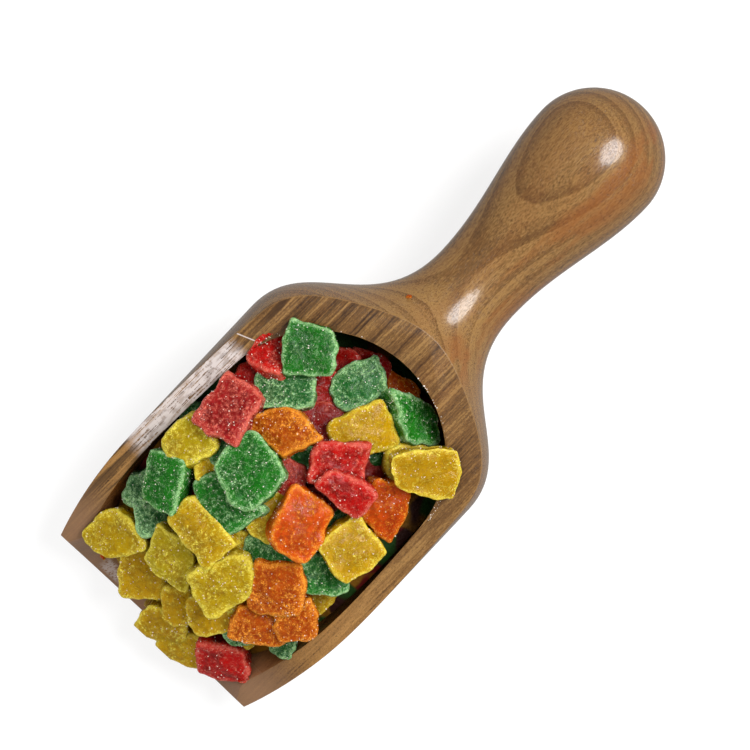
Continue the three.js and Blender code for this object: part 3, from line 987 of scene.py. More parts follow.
@dataclass
class Scoop:
    """One piece of turned wood: a bored bowl sawn open on a slant, a neck and a bulb handle.

    A pair of pulls is how far a curve runs straight on at its start and at its end.
    """

    length: float = 200.0
    bowl_radius: float = 41.8
    bowl_length: float = 84.0
    neck: Point = (132.0, 13.6)
    bulb: Point = (180.0, 20.1)
    shoulder_pulls: Point = (22.0, 28.0)
    grip_pulls: Point = (18.0, 16.0)
    end_pulls: Point = (11.0, 11.0)
    bore_radius: float = 35.9
    bore_length: float = 71.0
    bore_end: float = 106.0
    lip_radius: float = 39.4
    lip_length: float = 4.8
    lip_corner: Point = (1.9, 38.2)
    lip_foot: float = 3.2
    lip_run_out: float = 2.0
    cut_mouth: Point = (0.0, -22.0)
    cut_bend: tuple[Point, Point, Point] = ((27.0, -6.3), (39.7, 1.1), (56.0, 5.6))
    cut_back: Point = (112.4, 21.0)
    worn_edge: float = 0.5
    worn_angle: float = 32.0
    smooth_angle: float = 35.0
    crowded: float = 0.25
    turned_steps: int = 160
    sawn_end: float = 114.0
    sawn_reach: float = 0.3
    sawn_slope: float = 0.8
    # Where the back edge of the rim gets its painted highlight: from which station, in which band about
    # the cut, on faces no larger than this in square millimetres.
    bright_start: float = 70.0
    bright_band: Point = (-0.7, 0.05)
    bright_area: float = 1.2

    def build(self) -> bpy.types.Object:
        """Return the scoop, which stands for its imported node."""
        piece = spin_solid("turned_scoop", self.outside(), self.turned_steps)
        combine(piece, spin_solid("bore", self.inside(), self.turned_steps), "DIFFERENCE")
        combine(piece, extruded_slab("saw_cut", self.above_cut(), self.bowl_radius * 2.4), "DIFFERENCE")
        self._cut_flat(piece)
        self._wear_edges(piece)
        self._mark_faces(piece)
        piece.data.materials.append(WoodFinish().material())
        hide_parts("scoop")
        return piece

    def outside(self) -> list[Point]:
        """Return the profile of the outside, from the mouth to the handle's end."""
        straight_steps = 12
        straight = [self.bowl_length * i / straight_steps for i in range(straight_steps + 1)]
        bowl_end = (self.bowl_length, self.bowl_radius)
        tip_pull, end_radius = self.end_pulls
        end = (self.bulb, (self.bulb[0] + tip_pull, self.bulb[1]), (self.length, end_radius))
        return [
            (0.0, 0.0),
            *[(station, self.bowl_radius) for station in straight],
            *self._sweep(bowl_end, self.neck, self.shoulder_pulls, 30),
            *self._sweep(self.neck, self.bulb, self.grip_pulls, 20),
            *bezier((*end, (self.length, 0.0)), 22),
        ]

    @staticmethod
    def _sweep(start: Point, end: Point, pulls: Point, steps: int) -> list[Point]:
        """Return a curve that leaves and arrives along the axis.

        Args:
            start: Where it leaves.
            end: Where it arrives.
            pulls: How far it runs straight on at its start and at its end.
            steps: How many points it has.

        Returns:
            Its points, without its start.
        """
        leaving = (start[0] + pulls[0], start[1])
        arriving = (end[0] - pulls[1], end[1])
        return bezier((start, leaving, arriving, end), steps)

    def inside(self) -> list[Point]:
        """Return the profile of the bore, from in front of the mouth to its rounded end."""
        in_front = -1.0
        straight_steps = 9
        round_steps = 18
        depth = self.bore_end - self.bore_length
        angles = [math.pi / 2 * i / round_steps for i in range(1, round_steps)]
        lip_end = self.lip_length + self.lip_run_out
        foot = (self.lip_foot, self.bore_radius)
        lip = ((0.0, self.lip_radius), self.lip_corner, foot, (lip_end, self.bore_radius))
        run = self.bore_length - lip_end
        straight = [lip_end + run * i / straight_steps for i in range(1, straight_steps + 1)]
        return [
            (in_front, 0.0),
            (in_front, self.lip_radius),
            (0.0, self.lip_radius),
            *bezier(lip, 7),
            *[(station, self.bore_radius) for station in straight],
            *[(self.bore_length + depth * math.sin(a), self.bore_radius * math.cos(a)) for a in angles],
            (self.bore_end, 0.0),
        ]

    def cut_line(self) -> list[Point]:
        """Return the saw cut in side view, from the mouth to the shoulder."""
        return [self.cut_mouth, self.cut_bend[0], *bezier(self.cut_bend, 10), self.cut_back]

    def above_cut(self) -> list[Point]:
        """Return the outline of all that the saw took away."""
        line = self.cut_line()
        front = self._run_on(line[1], line[0])
        back = self._run_on(line[-2], line[-1])
        high = self.bowl_radius * 2
        return [front, *line, back, (back[0], high), (front[0], high)]

    @staticmethod
    def _run_on(before: Point, last: Point, reach: float = 0.4) -> Point:
        """Return the point a line reaches when it runs on past its last point."""
        return tuple(b + (b - a) * reach for a, b in zip(before, last))

    def _mark_faces(self, piece: bpy.types.Object) -> None:
        """Mark the faces that the saw made, those that line the bore and the back edge that carries a
        painted highlight.

        Args:
            piece: The finished scoop.
        """
        line = self.cut_line()
        stations = [point[0] for point in line]
        heights = [point[1] for point in line]
        largest = self.bright_area * MM**2
        low, high = self.bright_band
        attributes = piece.data.attributes
        marks = {name: attributes.new(name, "FLOAT", "FACE") for name in ("sawn", "bored", "worn")}
        for face in piece.data.polygons:
            station = face.center.x / MM - MOUTH_PLACE
            height = face.center.z / MM - AXIS_HEIGHT
            inwards = face.normal.dot(Vector((0, -face.center.y / MM, -height)))
            above = height - np.interp(station, stations, heights)
            on_cut = abs(above) < self.sawn_reach
            sawn = on_cut and face.normal.z > self.sawn_slope and station < self.sawn_end
            edge = low < above < high and inwards < 0 and face.area < largest
            marks["sawn"].data[face.index].value = float(sawn)
            marks["bored"].data[face.index].value = float(not on_cut and inwards > 0)
            marks["worn"].data[face.index].value = float(edge and station > self.bright_start)

    @staticmethod
    def _cut_flat(piece: bpy.types.Object) -> None:
        """Plane the narrow flat that the scoop rests on.

        Args:
            piece: The turned and sawn scoop.
        """
        make_active(piece)
        bpy.ops.object.mode_set(mode="EDIT")
        bpy.ops.mesh.select_all(action="SELECT")
        bpy.ops.mesh.bisect(plane_co=(0, 0, 0), plane_no=(0, 0, 1), use_fill=True, clear_inner=True)
        bpy.ops.object.mode_set(mode="OBJECT")

    def _wear_edges(self, piece: bpy.types.Object) -> None:
        """Round the sawn edges a little and shade the turned faces smooth.

        Args:
            piece: The scoop with its flat cut.
        """
        merge_doubles(piece, self.crowded * MM)
        apply_modifier(
            piece,
            "BEVEL",
            width=self.worn_edge * MM,
            segments=2,
            limit_method="ANGLE",
            angle_limit=math.radians(self.worn_angle),
            use_clamp_overlap=True,
        )
        merge_doubles(piece, SLIVER * MM)
        for vertex in piece.data.vertices:
            vertex.co.z = max(vertex.co.z, 0.0)
        bpy.ops.object.shade_smooth_by_angle(angle=math.radians(self.smooth_angle))


# ---------------------------------------------------------------- the fruit


@dataclass(frozen=True)
class Block:
    """A block of candied fruit that shows, in millimetres and degrees.

    The outline holds its slant and its two tapers, lift is how far its top stands above the dome of
    the heap, and tip is how much further its top tips forward and sideways. Its shade goes from -1,
    deep and clear, over 0, of its kind's usual colour, to 1, frosted and of the other colour. On
    blocks low at the back of the heap, and on some that face the key light, a negative shade is
    partly painted shade.
    """

    kind: Kind
    at: Point
    size: tuple[float, float, float]
    turn: float
    outline: tuple[float, float, float] = (0.0, 0.0, 0.0)
    lift: float = 0.0
    tip: Point = (0.0, 0.0)
    shade: float = 0.5


GREEN, RED, ORANGE, YELLOW = Kind

# Negative shades darken blocks low at the back of the heap and some that face the key light: partly
# their own deeper colour, partly painted shade.
SHOWN_BLOCKS = (
    Block(GREEN, (86, 23), (13.5, 14, 8), -55, (0.5, -1.8, -0.7), 11, (-14, 4), shade=-0.35),
    Block(GREEN, (73.5, 20), (15.3, 9.6, 8), -47, (-0.7, 0, 0), 3, (-6, 4), shade=0.75),
    Block(GREEN, (88.5, 5.5), (14.4, 10.6, 9), -24, (0.8, 0.4, 0), 2, (-8, 0), shade=0.7),
    Block(GREEN, (93, -14), (13.8, 11.2, 7), -63, (-6, -1, 2), 5, (10, 12), shade=0.2),
    Block(GREEN, (76.5, -14), (8, 7, 8), -44, (1, 1, 0.5), -5),
    Block(GREEN, (49.5, 12), (16.6, 15.2, 9), -101, (-1.6, 0.4, 0.9), 6, (4, -6), shade=0.15),
    Block(GREEN, (48, 21.5), (5, 7, 8), -62, (1, 0, 1.5), -1, shade=0.6),
    Block(GREEN, (63, 3), (8, 6, 8), -48, (0.7, 1, 0.8), -4),
    Block(GREEN, (50, 33), (8, 7, 8), -41, (1.5, 0, 0), -5, (0, 10), shade=0.8),
    Block(GREEN, (42, -23), (13, 11, 9), -47, (-3, 0, -3), 1, (4, -6), shade=0.5),
    Block(GREEN, (36.5, -10.5), (17, 8, 8), -68, (0, -0.7, 0), 1, (-14, 0), shade=0.6),
    Block(GREEN, (38, 11), (12.8, 16.9, 9), -21, (-3.8, -0.3, -4.8), 4, (-4, 10), shade=0.4),
    Block(GREEN, (30.5, 27), (11.6, 15.8, 10), -71, (-2.7, 0.7, 0.8), 5, (0, 14), shade=0.2),
    Block(GREEN, (24, 30), (7, 9, 8), -45, (1.5, 1.5, -1), -2, (0, 10), shade=1.0),
    Block(GREEN, (20.5, 21), (8, 8, 8), -47, (-1.5, -2, 1), -1, (6, 0), shade=1.0),
    Block(GREEN, (15.5, -18.5), (11, 11.5, 8), -19, (0, 3, 1.2), -2, (0, 0), shade=0.7),
    Block(GREEN, (19, -31), (6.5, 6, 7), -43, (0, 0, 2), -2, shade=0.8),
    Block(GREEN, (56.5, -17), (6, 8, 8), -85, (0, 0, 0), -4),
    Block(RED, (79, 31), (10.5, 12, 10), -67, (-0.5, 1.6, -1.5), 5, (0, 22), shade=0.3),
    Block(RED, (69, 29), (9, 9, 8), -57, (-0.8, 1.8, -0.9), -2, (0, 10), shade=-0.2),
    Block(RED, (58.5, 28), (13.1, 15.7, 10), -78, (0.4, -0.8, -0.8), 5, (0, 10), shade=0.8),
    Block(RED, (90, 12.5), (8.5, 8.5, 7), -47, (0.7, -1, -0.7), -2, (-6, 0), shade=-0.3),
    Block(RED, (94, 5.5), (12, 8, 7), -72, (-2.8, 1, 0), -3, (-6, 0), shade=-0.3),
    Block(RED, (81, 12), (9, 9, 8), -42, (-1, 0, 0), -2, shade=-0.4),
    Block(RED, (74, 6), (10, 10, 8), -53, (-1, 1, 1), -2, (6, 6), shade=-0.6),
    Block(RED, (68.5, -5.5), (14.8, 11.2, 9), -47, (2.9, -0.6, 0), 4, (0, -4), shade=0.3),
    Block(RED, (64, -12), (8.6, 14.5, 8), -1, (-2.3, -1.5, -0.9), 8, (-6, -6), shade=0.25),
    Block(RED, (56, 1.5), (9, 10, 9), -59, (0, -1.8, 0), -1),
    Block(RED, (4.4, -22.4), (13.4, 12, 8), -46, (-1, -1, 0), 1.5, (0, -8), shade=0.4),
    Block(ORANGE, (95.5, -5.5), (9, 8, 7), -72, (-1.2, 0, 0.9), -3, (-4, 0)),
    Block(ORANGE, (64.6, 13), (13, 13, 7), -24, (-5.6, -1.3, 0.8), 4, (-4, 8), shade=0.95),
    Block(ORANGE, (48.5, -9.5), (13.1, 16.4, 10), -79, (-1.1, -0.9, 0.4), 7, (6, -6), shade=0.1),
    Block(ORANGE, (68.5, -24), (12.7, 13.6, 9), -77, (-2.5, 3, -0.8), 3, (0, -14), shade=-0.3),
    Block(ORANGE, (30.4, -17.4), (14, 14.5, 9), -50, (0.5, 0.4, -0.9), 5, (-4, 0), shade=0.7),
    Block(ORANGE, (20.3, -21.8), (15.5, 11.2, 9), -48, (3, 1.5, 0), 4.5, (4, -6), shade=0.75),
    Block(ORANGE, (27.4, -28), (10.5, 11.5, 9), -36, (0, 1.5, 0), 4.5, (4, -6), shade=0.75),
    Block(YELLOW, (79.6, -4), (17.2, 11.8, 9), -31, (-1.4, 2, -0.6), 2, (0, 0), shade=-0.1),
    Block(YELLOW, (83.1, -25), (17.5, 11.5, 6), -51, (-1.9, 2.7, 2), 11, (-12, 10), shade=-0.4),
    Block(YELLOW, (82, -20), (11, 10, 9), -40, (0, 0, 0), 0.5),
    Block(YELLOW, (36, -28), (8, 8, 8), -64, (1.4, 0, 2), -3),
    Block(YELLOW, (44, -1), (9, 13, 9), -65, (0.7, 1.7, -1.2), 1),
    Block(YELLOW, (43.5, 30), (12.9, 10.9, 9), -16, (0, 1.8, -1), 4, (0, 10), shade=0.9),
    Block(YELLOW, (44, 22), (5, 11, 9), -37, (2.8, 0, -1), 0),
    Block(YELLOW, (53, -25), (13.8, 13.8, 9), -8, (0, 0, -0.4), 6, (2, -8), shade=-0.2),
    Block(YELLOW, (9.6, 25.2), (14.4, 11.8, 9), -22, (-3.8, 2.5, 0.7), 3, (0, 8), shade=0.6),
    Block(YELLOW, (27.5, 9.5), (11.3, 18.2, 10), -8, (0.6, 0, -0.9), 6, (0, 8), shade=0.5),
    Block(YELLOW, (21.3, -5.8), (17, 12.6, 9), -18, (2.2, -2, 1.2), 7, (4, -4), shade=0.65),
    Block(YELLOW, (16.3, 9.6), (14, 12.6, 9), -86, (-4.7, -0.4, -1), 3, (-4, 4), shade=0.9),
    Block(YELLOW, (7, 12), (11.5, 13.5, 9), -49, (-1, -0.8, -3), 0, (-4, 0), shade=0.1),
    Block(YELLOW, (7.5, -1.5), (9, 11, 9), -55, (0, -0.5, 0.8), 1, shade=0.2),
    Block(YELLOW, (12.6, -9.8), (14, 10.5, 9), -32, (2.4, -1.4, 0.5), 3, shade=0.3),
    Block(YELLOW, (0.4, -3), (13, 12, 8), -66, (0, 2, -1), 1, (-4, 0), shade=0.4),
    Block(YELLOW, (-0.4, -11.5), (13.6, 11.5, 9), -60, (-0.9, 1, 1), 0, (-8, -4), shade=0.4),
    Block(YELLOW, (33, -3), (6, 9, 8), -52, (0, 0, 0), -1),
    Block(YELLOW, (22, -12), (8, 9, 8), -40, (2, 0, 0), 0),
)


@dataclass(frozen=True)
class Dome:
    """The top of the heap: a crown that falls away along and across the scoop."""

    station: float = 64.0
    height: float = 14.0
    fall_along: float = 0.0088
    fall_across: float = 0.0045
    lean_share: float = 0.6

    def top(self, station: float, across: float) -> float:
        """Return the dome's height at a place."""
        along = station - self.station
        return self.height - self.fall_along * along**2 - self.fall_across * across**2

    def rest_pose(self, block: Block) -> Matrix:
        """Return how a block lies: turned, leaning with the dome, with its top face at its height.

        Args:
            block: The block of fruit.

        Returns:
            Its place and turn, in metres.
        """
        station, across = block.at
        slope_along = -2 * self.fall_along * (station - self.station) * self.lean_share
        slope_across = -2 * self.fall_across * across * self.lean_share
        fore, side = (math.radians(angle) for angle in block.tip)
        turn = Matrix.Rotation(math.radians(block.turn), 4, "Z")
        fore_lean = Matrix.Rotation(-math.atan(slope_along) + fore, 4, "Y")
        side_lean = Matrix.Rotation(math.atan(slope_across) - math.copysign(side, across), 4, "X")
        middle = place(station, across, self.top(station, across) + block.lift)
        return Matrix.Translation(middle) @ side_lean @ fore_lean @ turn


@dataclass
class SoftBlock:
    """A block modelled once, from minus one to one each way, which every piece of fruit is shaped from.

    Each range, in millimetres or as a share of the block, is what chance may give to one shape.
    """

    cuts: int
    rounding: Point = (0.08, 0.17)
    waist: Point = (-0.08, 0.05)
    twist: Point = (-0.5, 0.5)
    bow: Point = (-0.2, 0.8)
    ragged: Point = (-0.018, 0.018)
    ragged_waves: Sequence[int] = range(3, 11)
    trim: Point = (0.04, 0.12)
    fold_place: Point = (-0.3, 0.4)
    fold_depth: Point = (0.3, 1.9)
    bulge: Point = (-0.3, 0.9)
    sag: Point = (-0.7, 0.7)
    top_spread: float = 1.09
    foot_loss: float = 0.05
    edge_width: float = 2.6
    corners: np.ndarray = field(init=False)
    faces: np.ndarray = field(init=False)

    def __post_init__(self) -> None:
        """Model the block and keep its arrays."""
        deselect_all()
        bpy.ops.mesh.primitive_cube_add(size=2)
        cube = bpy.context.object
        bpy.ops.object.mode_set(mode="EDIT")
        bpy.ops.mesh.select_all(action="SELECT")
        bpy.ops.mesh.subdivide(number_cuts=self.cuts)
        bpy.ops.mesh.quads_convert_to_tris()
        bpy.ops.object.mode_set(mode="OBJECT")
        mesh = cube.data
        self.corners = np.array([vertex.co for vertex in mesh.vertices])
        self.faces = np.array([face.vertices for face in mesh.polygons])
        bpy.data.objects.remove(cube, do_unlink=True)

    def shaped(self, block: Block, draw: random.Random) -> tuple[np.ndarray, np.ndarray]:
        """Shape a copy to a block's outline, with its top face at height nought.

        Args:
            block: The block to shape it to.
            draw: Where its chance shape comes from.

        Returns:
            Its vertices in millimetres, and how close each is to an edge, from 0 to 1.
        """
        thickness = block.size[2]
        half = np.array(block.size) / 2
        rounded = self._rounded(half, min(block.size) * draw.uniform(*self.rounding))
        to_sides = np.sort(half - np.abs(rounded), axis=1)
        edge = np.clip(1 - to_sides[:, 1] / self.edge_width, 0, 1)
        i, j, k = (rounded / half).T
        x, y = self._outline(block, (i, j, k), draw)
        direction = draw.uniform(0, math.tau)
        beyond = i * math.cos(direction) + j * math.sin(direction) - draw.uniform(*self.fold_place)
        fold = -draw.uniform(*self.fold_depth) * np.clip(beyond, 0, None)
        bulge = draw.uniform(*self.bulge) * (1 - i * i) * (1 - j * j) + fold
        sag = sum(draw.uniform(*self.sag) * share for share in (i, j, i * j))
        z = (k - 1) * thickness / 2 + np.clip(k, 0, 1) * (bulge + sag)
        return np.stack([x, y, z], axis=1), edge

    def _rounded(self, half: np.ndarray, radius: float) -> np.ndarray:
        """Return the block's vertices at its size, with its edges rounded.

        Args:
            half: Half the block's length, width and thickness.
            radius: The radius of its edges.

        Returns:
            One row for each vertex, in millimetres.
        """
        flat = self.corners * half
        inner = np.clip(flat, radius - half, half - radius)
        outward = flat - inner
        outward /= np.linalg.norm(outward, axis=1)[:, None]
        return inner + radius * outward

    def _outline(
        self, block: Block, shares: Sequence[np.ndarray], draw: random.Random
    ) -> tuple[np.ndarray, np.ndarray]:
        """Slant, taper and roughen the block's outline.

        Args:
            block: The block to shape it to.
            shares: How far along, across and up the block each vertex is, from minus one to one.
            draw: Where its chance shape comes from.

        Returns:
            How far along and across each vertex comes to be, in millimetres.
        """
        length, width, _ = block.size
        slant, taper, flare = block.outline
        i, j, k = shares
        waist = draw.uniform(*self.waist)
        spread = self.top_spread - waist * (1 - k * k) - self.foot_loss * (1 - k)
        twist = draw.uniform(*self.twist)
        x = (i * length + j * slant + i * j * flare) / 2 * spread + k * j * twist
        y = (j * width + i * j * taper) / 2 * spread + k * i * twist
        x = x + i * (1 - j * j) * draw.uniform(*self.bow)
        y = y + j * (1 - i * i) * draw.uniform(*self.bow)
        around = np.arctan2(j, i)
        waves = [(n, draw.uniform(*self.ragged), draw.uniform(0, 6)) for n in self.ragged_waves]
        ragged = sum(height * np.sin(n * around + start) for n, height, start in waves)
        corner = draw.uniform(*self.trim) * i * i * j * j
        return x * (1 + ragged - corner), y * (1 + ragged - corner)


@dataclass
class FruitHeap:
    """The heap of candied fruit: the blocks that show, a hidden layer under them, a core and sugar.

    Each range, in millimetres or degrees, is what chance may give to one hidden block.
    """

    scoop: Scoop
    dome: Dome = field(default_factory=Dome)
    seed: int = 7
    shown_cuts: int = 23
    hidden_cuts: int = 9
    room: float = 0.35
    over_rim: float = 2.5
    over_wall: float = 1.0
    crumples: Sequence[tuple[str, float, float]] = (
        ("lumps", 6.0, 1.3),
        ("wrinkles", 2.6, 0.8),
        ("grain", 0.8, 0.18),
    )
    # The painted shade starts this deep below the dome and is full this much deeper, in millimetres.
    painted_shade_start: float = 0.5
    painted_shade_depth: float = 6.0

    under_rows: Sequence[int] = range(11)
    under_columns: Sequence[int] = range(-3, 4)
    under_kinds: Sequence[Kind] = (RED, RED, GREEN, YELLOW, ORANGE)
    under_spacing: float = 9.5
    under_closeness: float = 0.95
    under_start: float = 8.0
    under_end: float = 86.0
    under_reach: float = 22.0
    under_taper: float = 8.0
    under_shift: Point = (-2.0, 2.0)
    under_size: Point = (9.0, 12.0)
    under_lift: Point = (-6.5, -4.5)
    under_tip: Point = (-15.0, 15.0)
    front_end: float = 22.0
    front_kinds: Sequence[Kind] = (YELLOW, RED, YELLOW, YELLOW, YELLOW)
    front_size: Size = (9.5, 9.5, 9.0)
    front_station: float = 5.0
    front_bow: float = 1.3
    front_turn: float = 35.0

    core_depth: float = 10.0
    core_start: float = 8.0
    core_steps: int = 64
    lid_middle: float = 56.0
    lid_reach: Point = (64.0, 44.0)
    lid_steps: tuple[int, int] = (40, 28)
    lid_height: float = 120.0

    grain_count: int = 2600
    grain_slope: float = 0.05
    grain_reach: float = 5.0
    grain_rise: float = 0.1
    stray_count: int = 90
    stray_stations: Point = (74.0, 102.0)
    stray_gap: Point = (0.3, 1.3)
    stray_rise: float = 0.08
    stray_right_share: float = 0.8

    def build(self) -> list[bpy.types.Object]:
        """Return the pieces of the heap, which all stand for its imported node."""
        shown = SoftBlock(cuts=self.shown_cuts)
        hidden = SoftBlock(cuts=self.hidden_cuts)
        under = list(self.under_layer())
        pieces = []
        for kind in Kind:
            pieces.append(self._pile(kind, [(shown, SHOWN_BLOCKS), (hidden, under)]))
        pieces.append(self._core())
        pieces.append(self._grains(pieces[:-1]))
        for piece in pieces:
            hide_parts("fruit_heap")
        return pieces

    def under_layer(self) -> Iterable[Block]:
        """Yield the blocks under those that show, by chance on a grid, and a row inside the mouth."""
        draw = random.Random(self.seed)
        for row in self.under_rows:
            for column in self.under_columns:
                station = self.under_start + row * self.under_spacing * self.under_closeness
                station += draw.uniform(*self.under_shift)
                across = column * self.under_spacing + draw.uniform(*self.under_shift)
                kind = draw.choice(self.under_kinds)
                size = tuple(draw.uniform(*self.under_size) for _ in range(3))
                lift = draw.uniform(*self.under_lift)
                tip = (draw.uniform(*self.under_tip), draw.uniform(*self.under_tip))
                turn = draw.uniform(0, 180)
                if station < self.front_end:
                    kind = YELLOW
                widest = min(self.under_reach, station + self.under_taper)
                if station < self.under_end and abs(across) < widest:
                    at = (station, across)
                    yield Block(kind, at, size, turn, lift=lift, tip=tip, shade=turn / 180)
        middle = len(self.front_kinds) // 2
        for number, kind in enumerate(self.front_kinds):
            column = number - middle
            across = column * self.under_spacing
            station = self.front_station + column**2 * self.front_bow
            floor = -math.sqrt(self.scoop.bore_radius**2 - across**2)
            lift = self.front_size[2] + floor - self.dome.top(station, across)
            yield Block(kind, (station, across), self.front_size, self.front_turn * column, lift=lift)

    def _pile(
        self, kind: Kind, layers: Sequence[tuple[SoftBlock, Sequence[Block]]]
    ) -> bpy.types.Object:
        """Join all the blocks of one kind to one piece.

        Args:
            kind: The kind of fruit.
            layers: The blocks of each layer, with what they are shaped from.

        Returns:
            The piece.
        """
        corners, faces, edges, shades = [], [], [], []
        start = 0
        for template, blocks in layers:
            for number, block in enumerate(blocks):
                if block.kind is not kind:
                    continue
                draw = random.Random(self.seed * 1000 + number)
                shape, edge = template.shaped(block, draw)
                pose = np.array(self.dome.rest_pose(block))
                corners.append(shape * MM @ pose[:3, :3].T + pose[:3, 3])
                faces.append(template.faces + start)
                edges.append(edge)
                shades.append(np.full(len(shape), block.shade))
                start += len(shape)
        name = f"candied_{kind.label}"
        piece = mesh_from_arrays(name, np.concatenate(corners), np.concatenate(faces))
        self._store(piece, "edge", np.concatenate(edges))
        self._store(piece, "shade", np.concatenate(shades))
        self._crumple(piece)
        self._keep_clear(piece)
        # Store the painted shade that darkens the fruit deep in the heap.
        self._store(piece, "painted_shade", self._painted_shade_share(piece))
        piece.data.shade_smooth()
        piece.data.materials.append(FruitFinish(kind).material())
        return piece

    @staticmethod
    def _store(piece: bpy.types.Object, name: str, values: np.ndarray) -> None:
        """Store a number on every vertex of a piece."""
        attribute = piece.data.attributes.new(name, "FLOAT", "POINT")
        attribute.data.foreach_set("value", values.astype(np.float32))

    @staticmethod
    def _corners(piece: bpy.types.Object) -> np.ndarray:
        """Return where a piece's vertices are.

        Args:
            piece: The mesh object.

        Returns:
            One row for each vertex, in millimetres.
        """
        corners = np.empty(len(piece.data.vertices) * 3)
        piece.data.vertices.foreach_get("co", corners)
        return corners.reshape(-1, 3) / MM

    def _crumple(self, piece: bpy.types.Object) -> None:
        """Give the faces the lumps and the grain of dried fruit.

        Args:
            piece: The blocks of one kind.
        """
        for name, size, depth in self.crumples:
            texture = bpy.data.textures.new(name, "CLOUDS")
            texture.noise_scale = size * MM
            texture.noise_depth = 1
            settings = {"strength": depth * MM, "mid_level": 0.5, "texture_coords": "LOCAL"}
            apply_modifier(piece, "DISPLACE", texture=texture, **settings)

    def _painted_shade_share(self, piece: bpy.types.Object) -> np.ndarray:
        """Return the painted shade of each vertex: how deep it lies in the heap, from 0 at its top to
        1.

        Args:
            piece: The blocks of one kind.

        Returns:
            One share for each vertex.
        """
        x, y, z = self._corners(piece).T
        depth = self.dome.top(x - MOUTH_PLACE, y) + AXIS_HEIGHT - z
        return np.clip((depth - self.painted_shade_start) / self.painted_shade_depth, 0, 1)

    def _keep_clear(self, piece: bpy.types.Object) -> None:
        """Push what would cross the wood back inside the bore, or up on to the rim.

        Args:
            piece: The blocks of one kind.
        """
        scoop = self.scoop
        corners = self._corners(piece)
        station = corners[:, 0] - MOUTH_PLACE
        across = corners[:, 1]
        height = corners[:, 2] - AXIS_HEIGHT
        line = np.array(scoop.cut_line())
        rim = np.interp(station, line[:, 0], line[:, 1]) + self.room
        run = (station - scoop.bore_length) / (scoop.bore_end - scoop.bore_length)
        free = scoop.bore_radius * np.sqrt(1 - np.clip(run, 0, 0.995) ** 2) - self.room
        radius = np.hypot(across, height)
        crosses = (radius > free) & (height < rim)
        lifted = crosses & (rim - height < self.over_rim) & (radius > free + self.over_wall)
        pushed = crosses & ~lifted
        share = np.where(pushed, free / np.maximum(radius, 1e-6), 1.0)
        corners[:, 1] = across * share
        corners[:, 2] = np.where(lifted, rim, height * share) + AXIS_HEIGHT
        low, high = (np.array(corner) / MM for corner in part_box("fruit_heap"))
        corners = np.clip(corners, low, high)
        piece.data.vertices.foreach_set("co", (corners * MM).ravel())
        piece.data.update()

    def _core(self) -> bpy.types.Object:
        """Return the inside of the heap, which fills the bore below the fruit."""
        gap = self.room * 2
        start = self.core_start
        wall = [(station, max(radius - gap, 0)) for station, radius in self.scoop.inside()]
        inside = [(start, 0.0), (start, self.scoop.bore_radius - gap)]
        inside += [point for point in wall if point[0] > start]
        inside[-1] = (self.scoop.bore_end - gap, 0.0)
        core = spin_solid("heap_core", inside, self.core_steps)
        combine(core, self._above_core(), "DIFFERENCE")
        merge_doubles(core, SLIVER * MM)
        core.data.materials.append(CoreFinish().material())
        return core

    def _above_core(self) -> bpy.types.Object:
        """Return all that is above the core: a block whose underside follows the dome."""
        deselect_all()
        along_steps, across_steps = self.lid_steps
        bpy.ops.mesh.primitive_grid_add(x_subdivisions=along_steps, y_subdivisions=across_steps, size=2)
        lid = bpy.context.object
        for vertex in lid.data.vertices:
            station = self.lid_middle + vertex.co.x * self.lid_reach[0]
            across = vertex.co.y * self.lid_reach[1]
            vertex.co = place(station, across, self.dome.top(station, across) - self.core_depth)
        bpy.ops.object.mode_set(mode="EDIT")
        bpy.ops.mesh.select_all(action="SELECT")
        rise = (0, 0, self.lid_height * MM)
        bpy.ops.mesh.extrude_region_move(TRANSFORM_OT_translate={"value": rise})
        tidy_shell(FINE_MERGE * MM)
        return lid

    def _grains(self, piles: Sequence[bpy.types.Object]) -> bpy.types.Object:
        """Scatter grains of sugar over the upper faces of the fruit.

        Args:
            piles: The pieces that they lie on.

        Returns:
            The grains, joined to one piece.
        """
        draw = np.random.default_rng(self.seed)
        centre = np.concatenate([self._face_values(pile, "center", 3) for pile in piles])
        normal = np.concatenate([self._face_values(pile, "normal", 3) for pile in piles])
        area = np.concatenate([self._face_values(pile, "area", 1)[:, 0] for pile in piles])
        dome = AXIS_HEIGHT + self.dome.top((centre[:, 0] / MM - MOUTH_PLACE), centre[:, 1] / MM)
        open_to_view = (normal[:, 2] > self.grain_slope) & (centre[:, 2] / MM > dome - self.grain_reach)
        chance = np.where(open_to_view, area, 0)
        picks = draw.choice(len(area), self.grain_count, p=chance / chance.sum())
        low, high = (np.array(corner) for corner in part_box("fruit_heap"))
        margin = GrainScatter.largest * MM
        places = centre[picks] + normal[picks] * self.grain_rise * MM
        places = np.clip(places, low + margin, high - margin)
        places = np.concatenate([places, self._stray_places(draw)])
        return GrainScatter(draw).build("sugar_grains", places, SugarFinish().material())

    @staticmethod
    def _face_values(piece: bpy.types.Object, name: str, width: int) -> np.ndarray:
        """Return a property of a piece's faces.

        Args:
            piece: The mesh object.
            name: The property.
            width: How many numbers it has.

        Returns:
            One row for each face.
        """
        values = np.empty(len(piece.data.polygons) * width)
        piece.data.polygons.foreach_get(name, values)
        return values.reshape(-1, width)

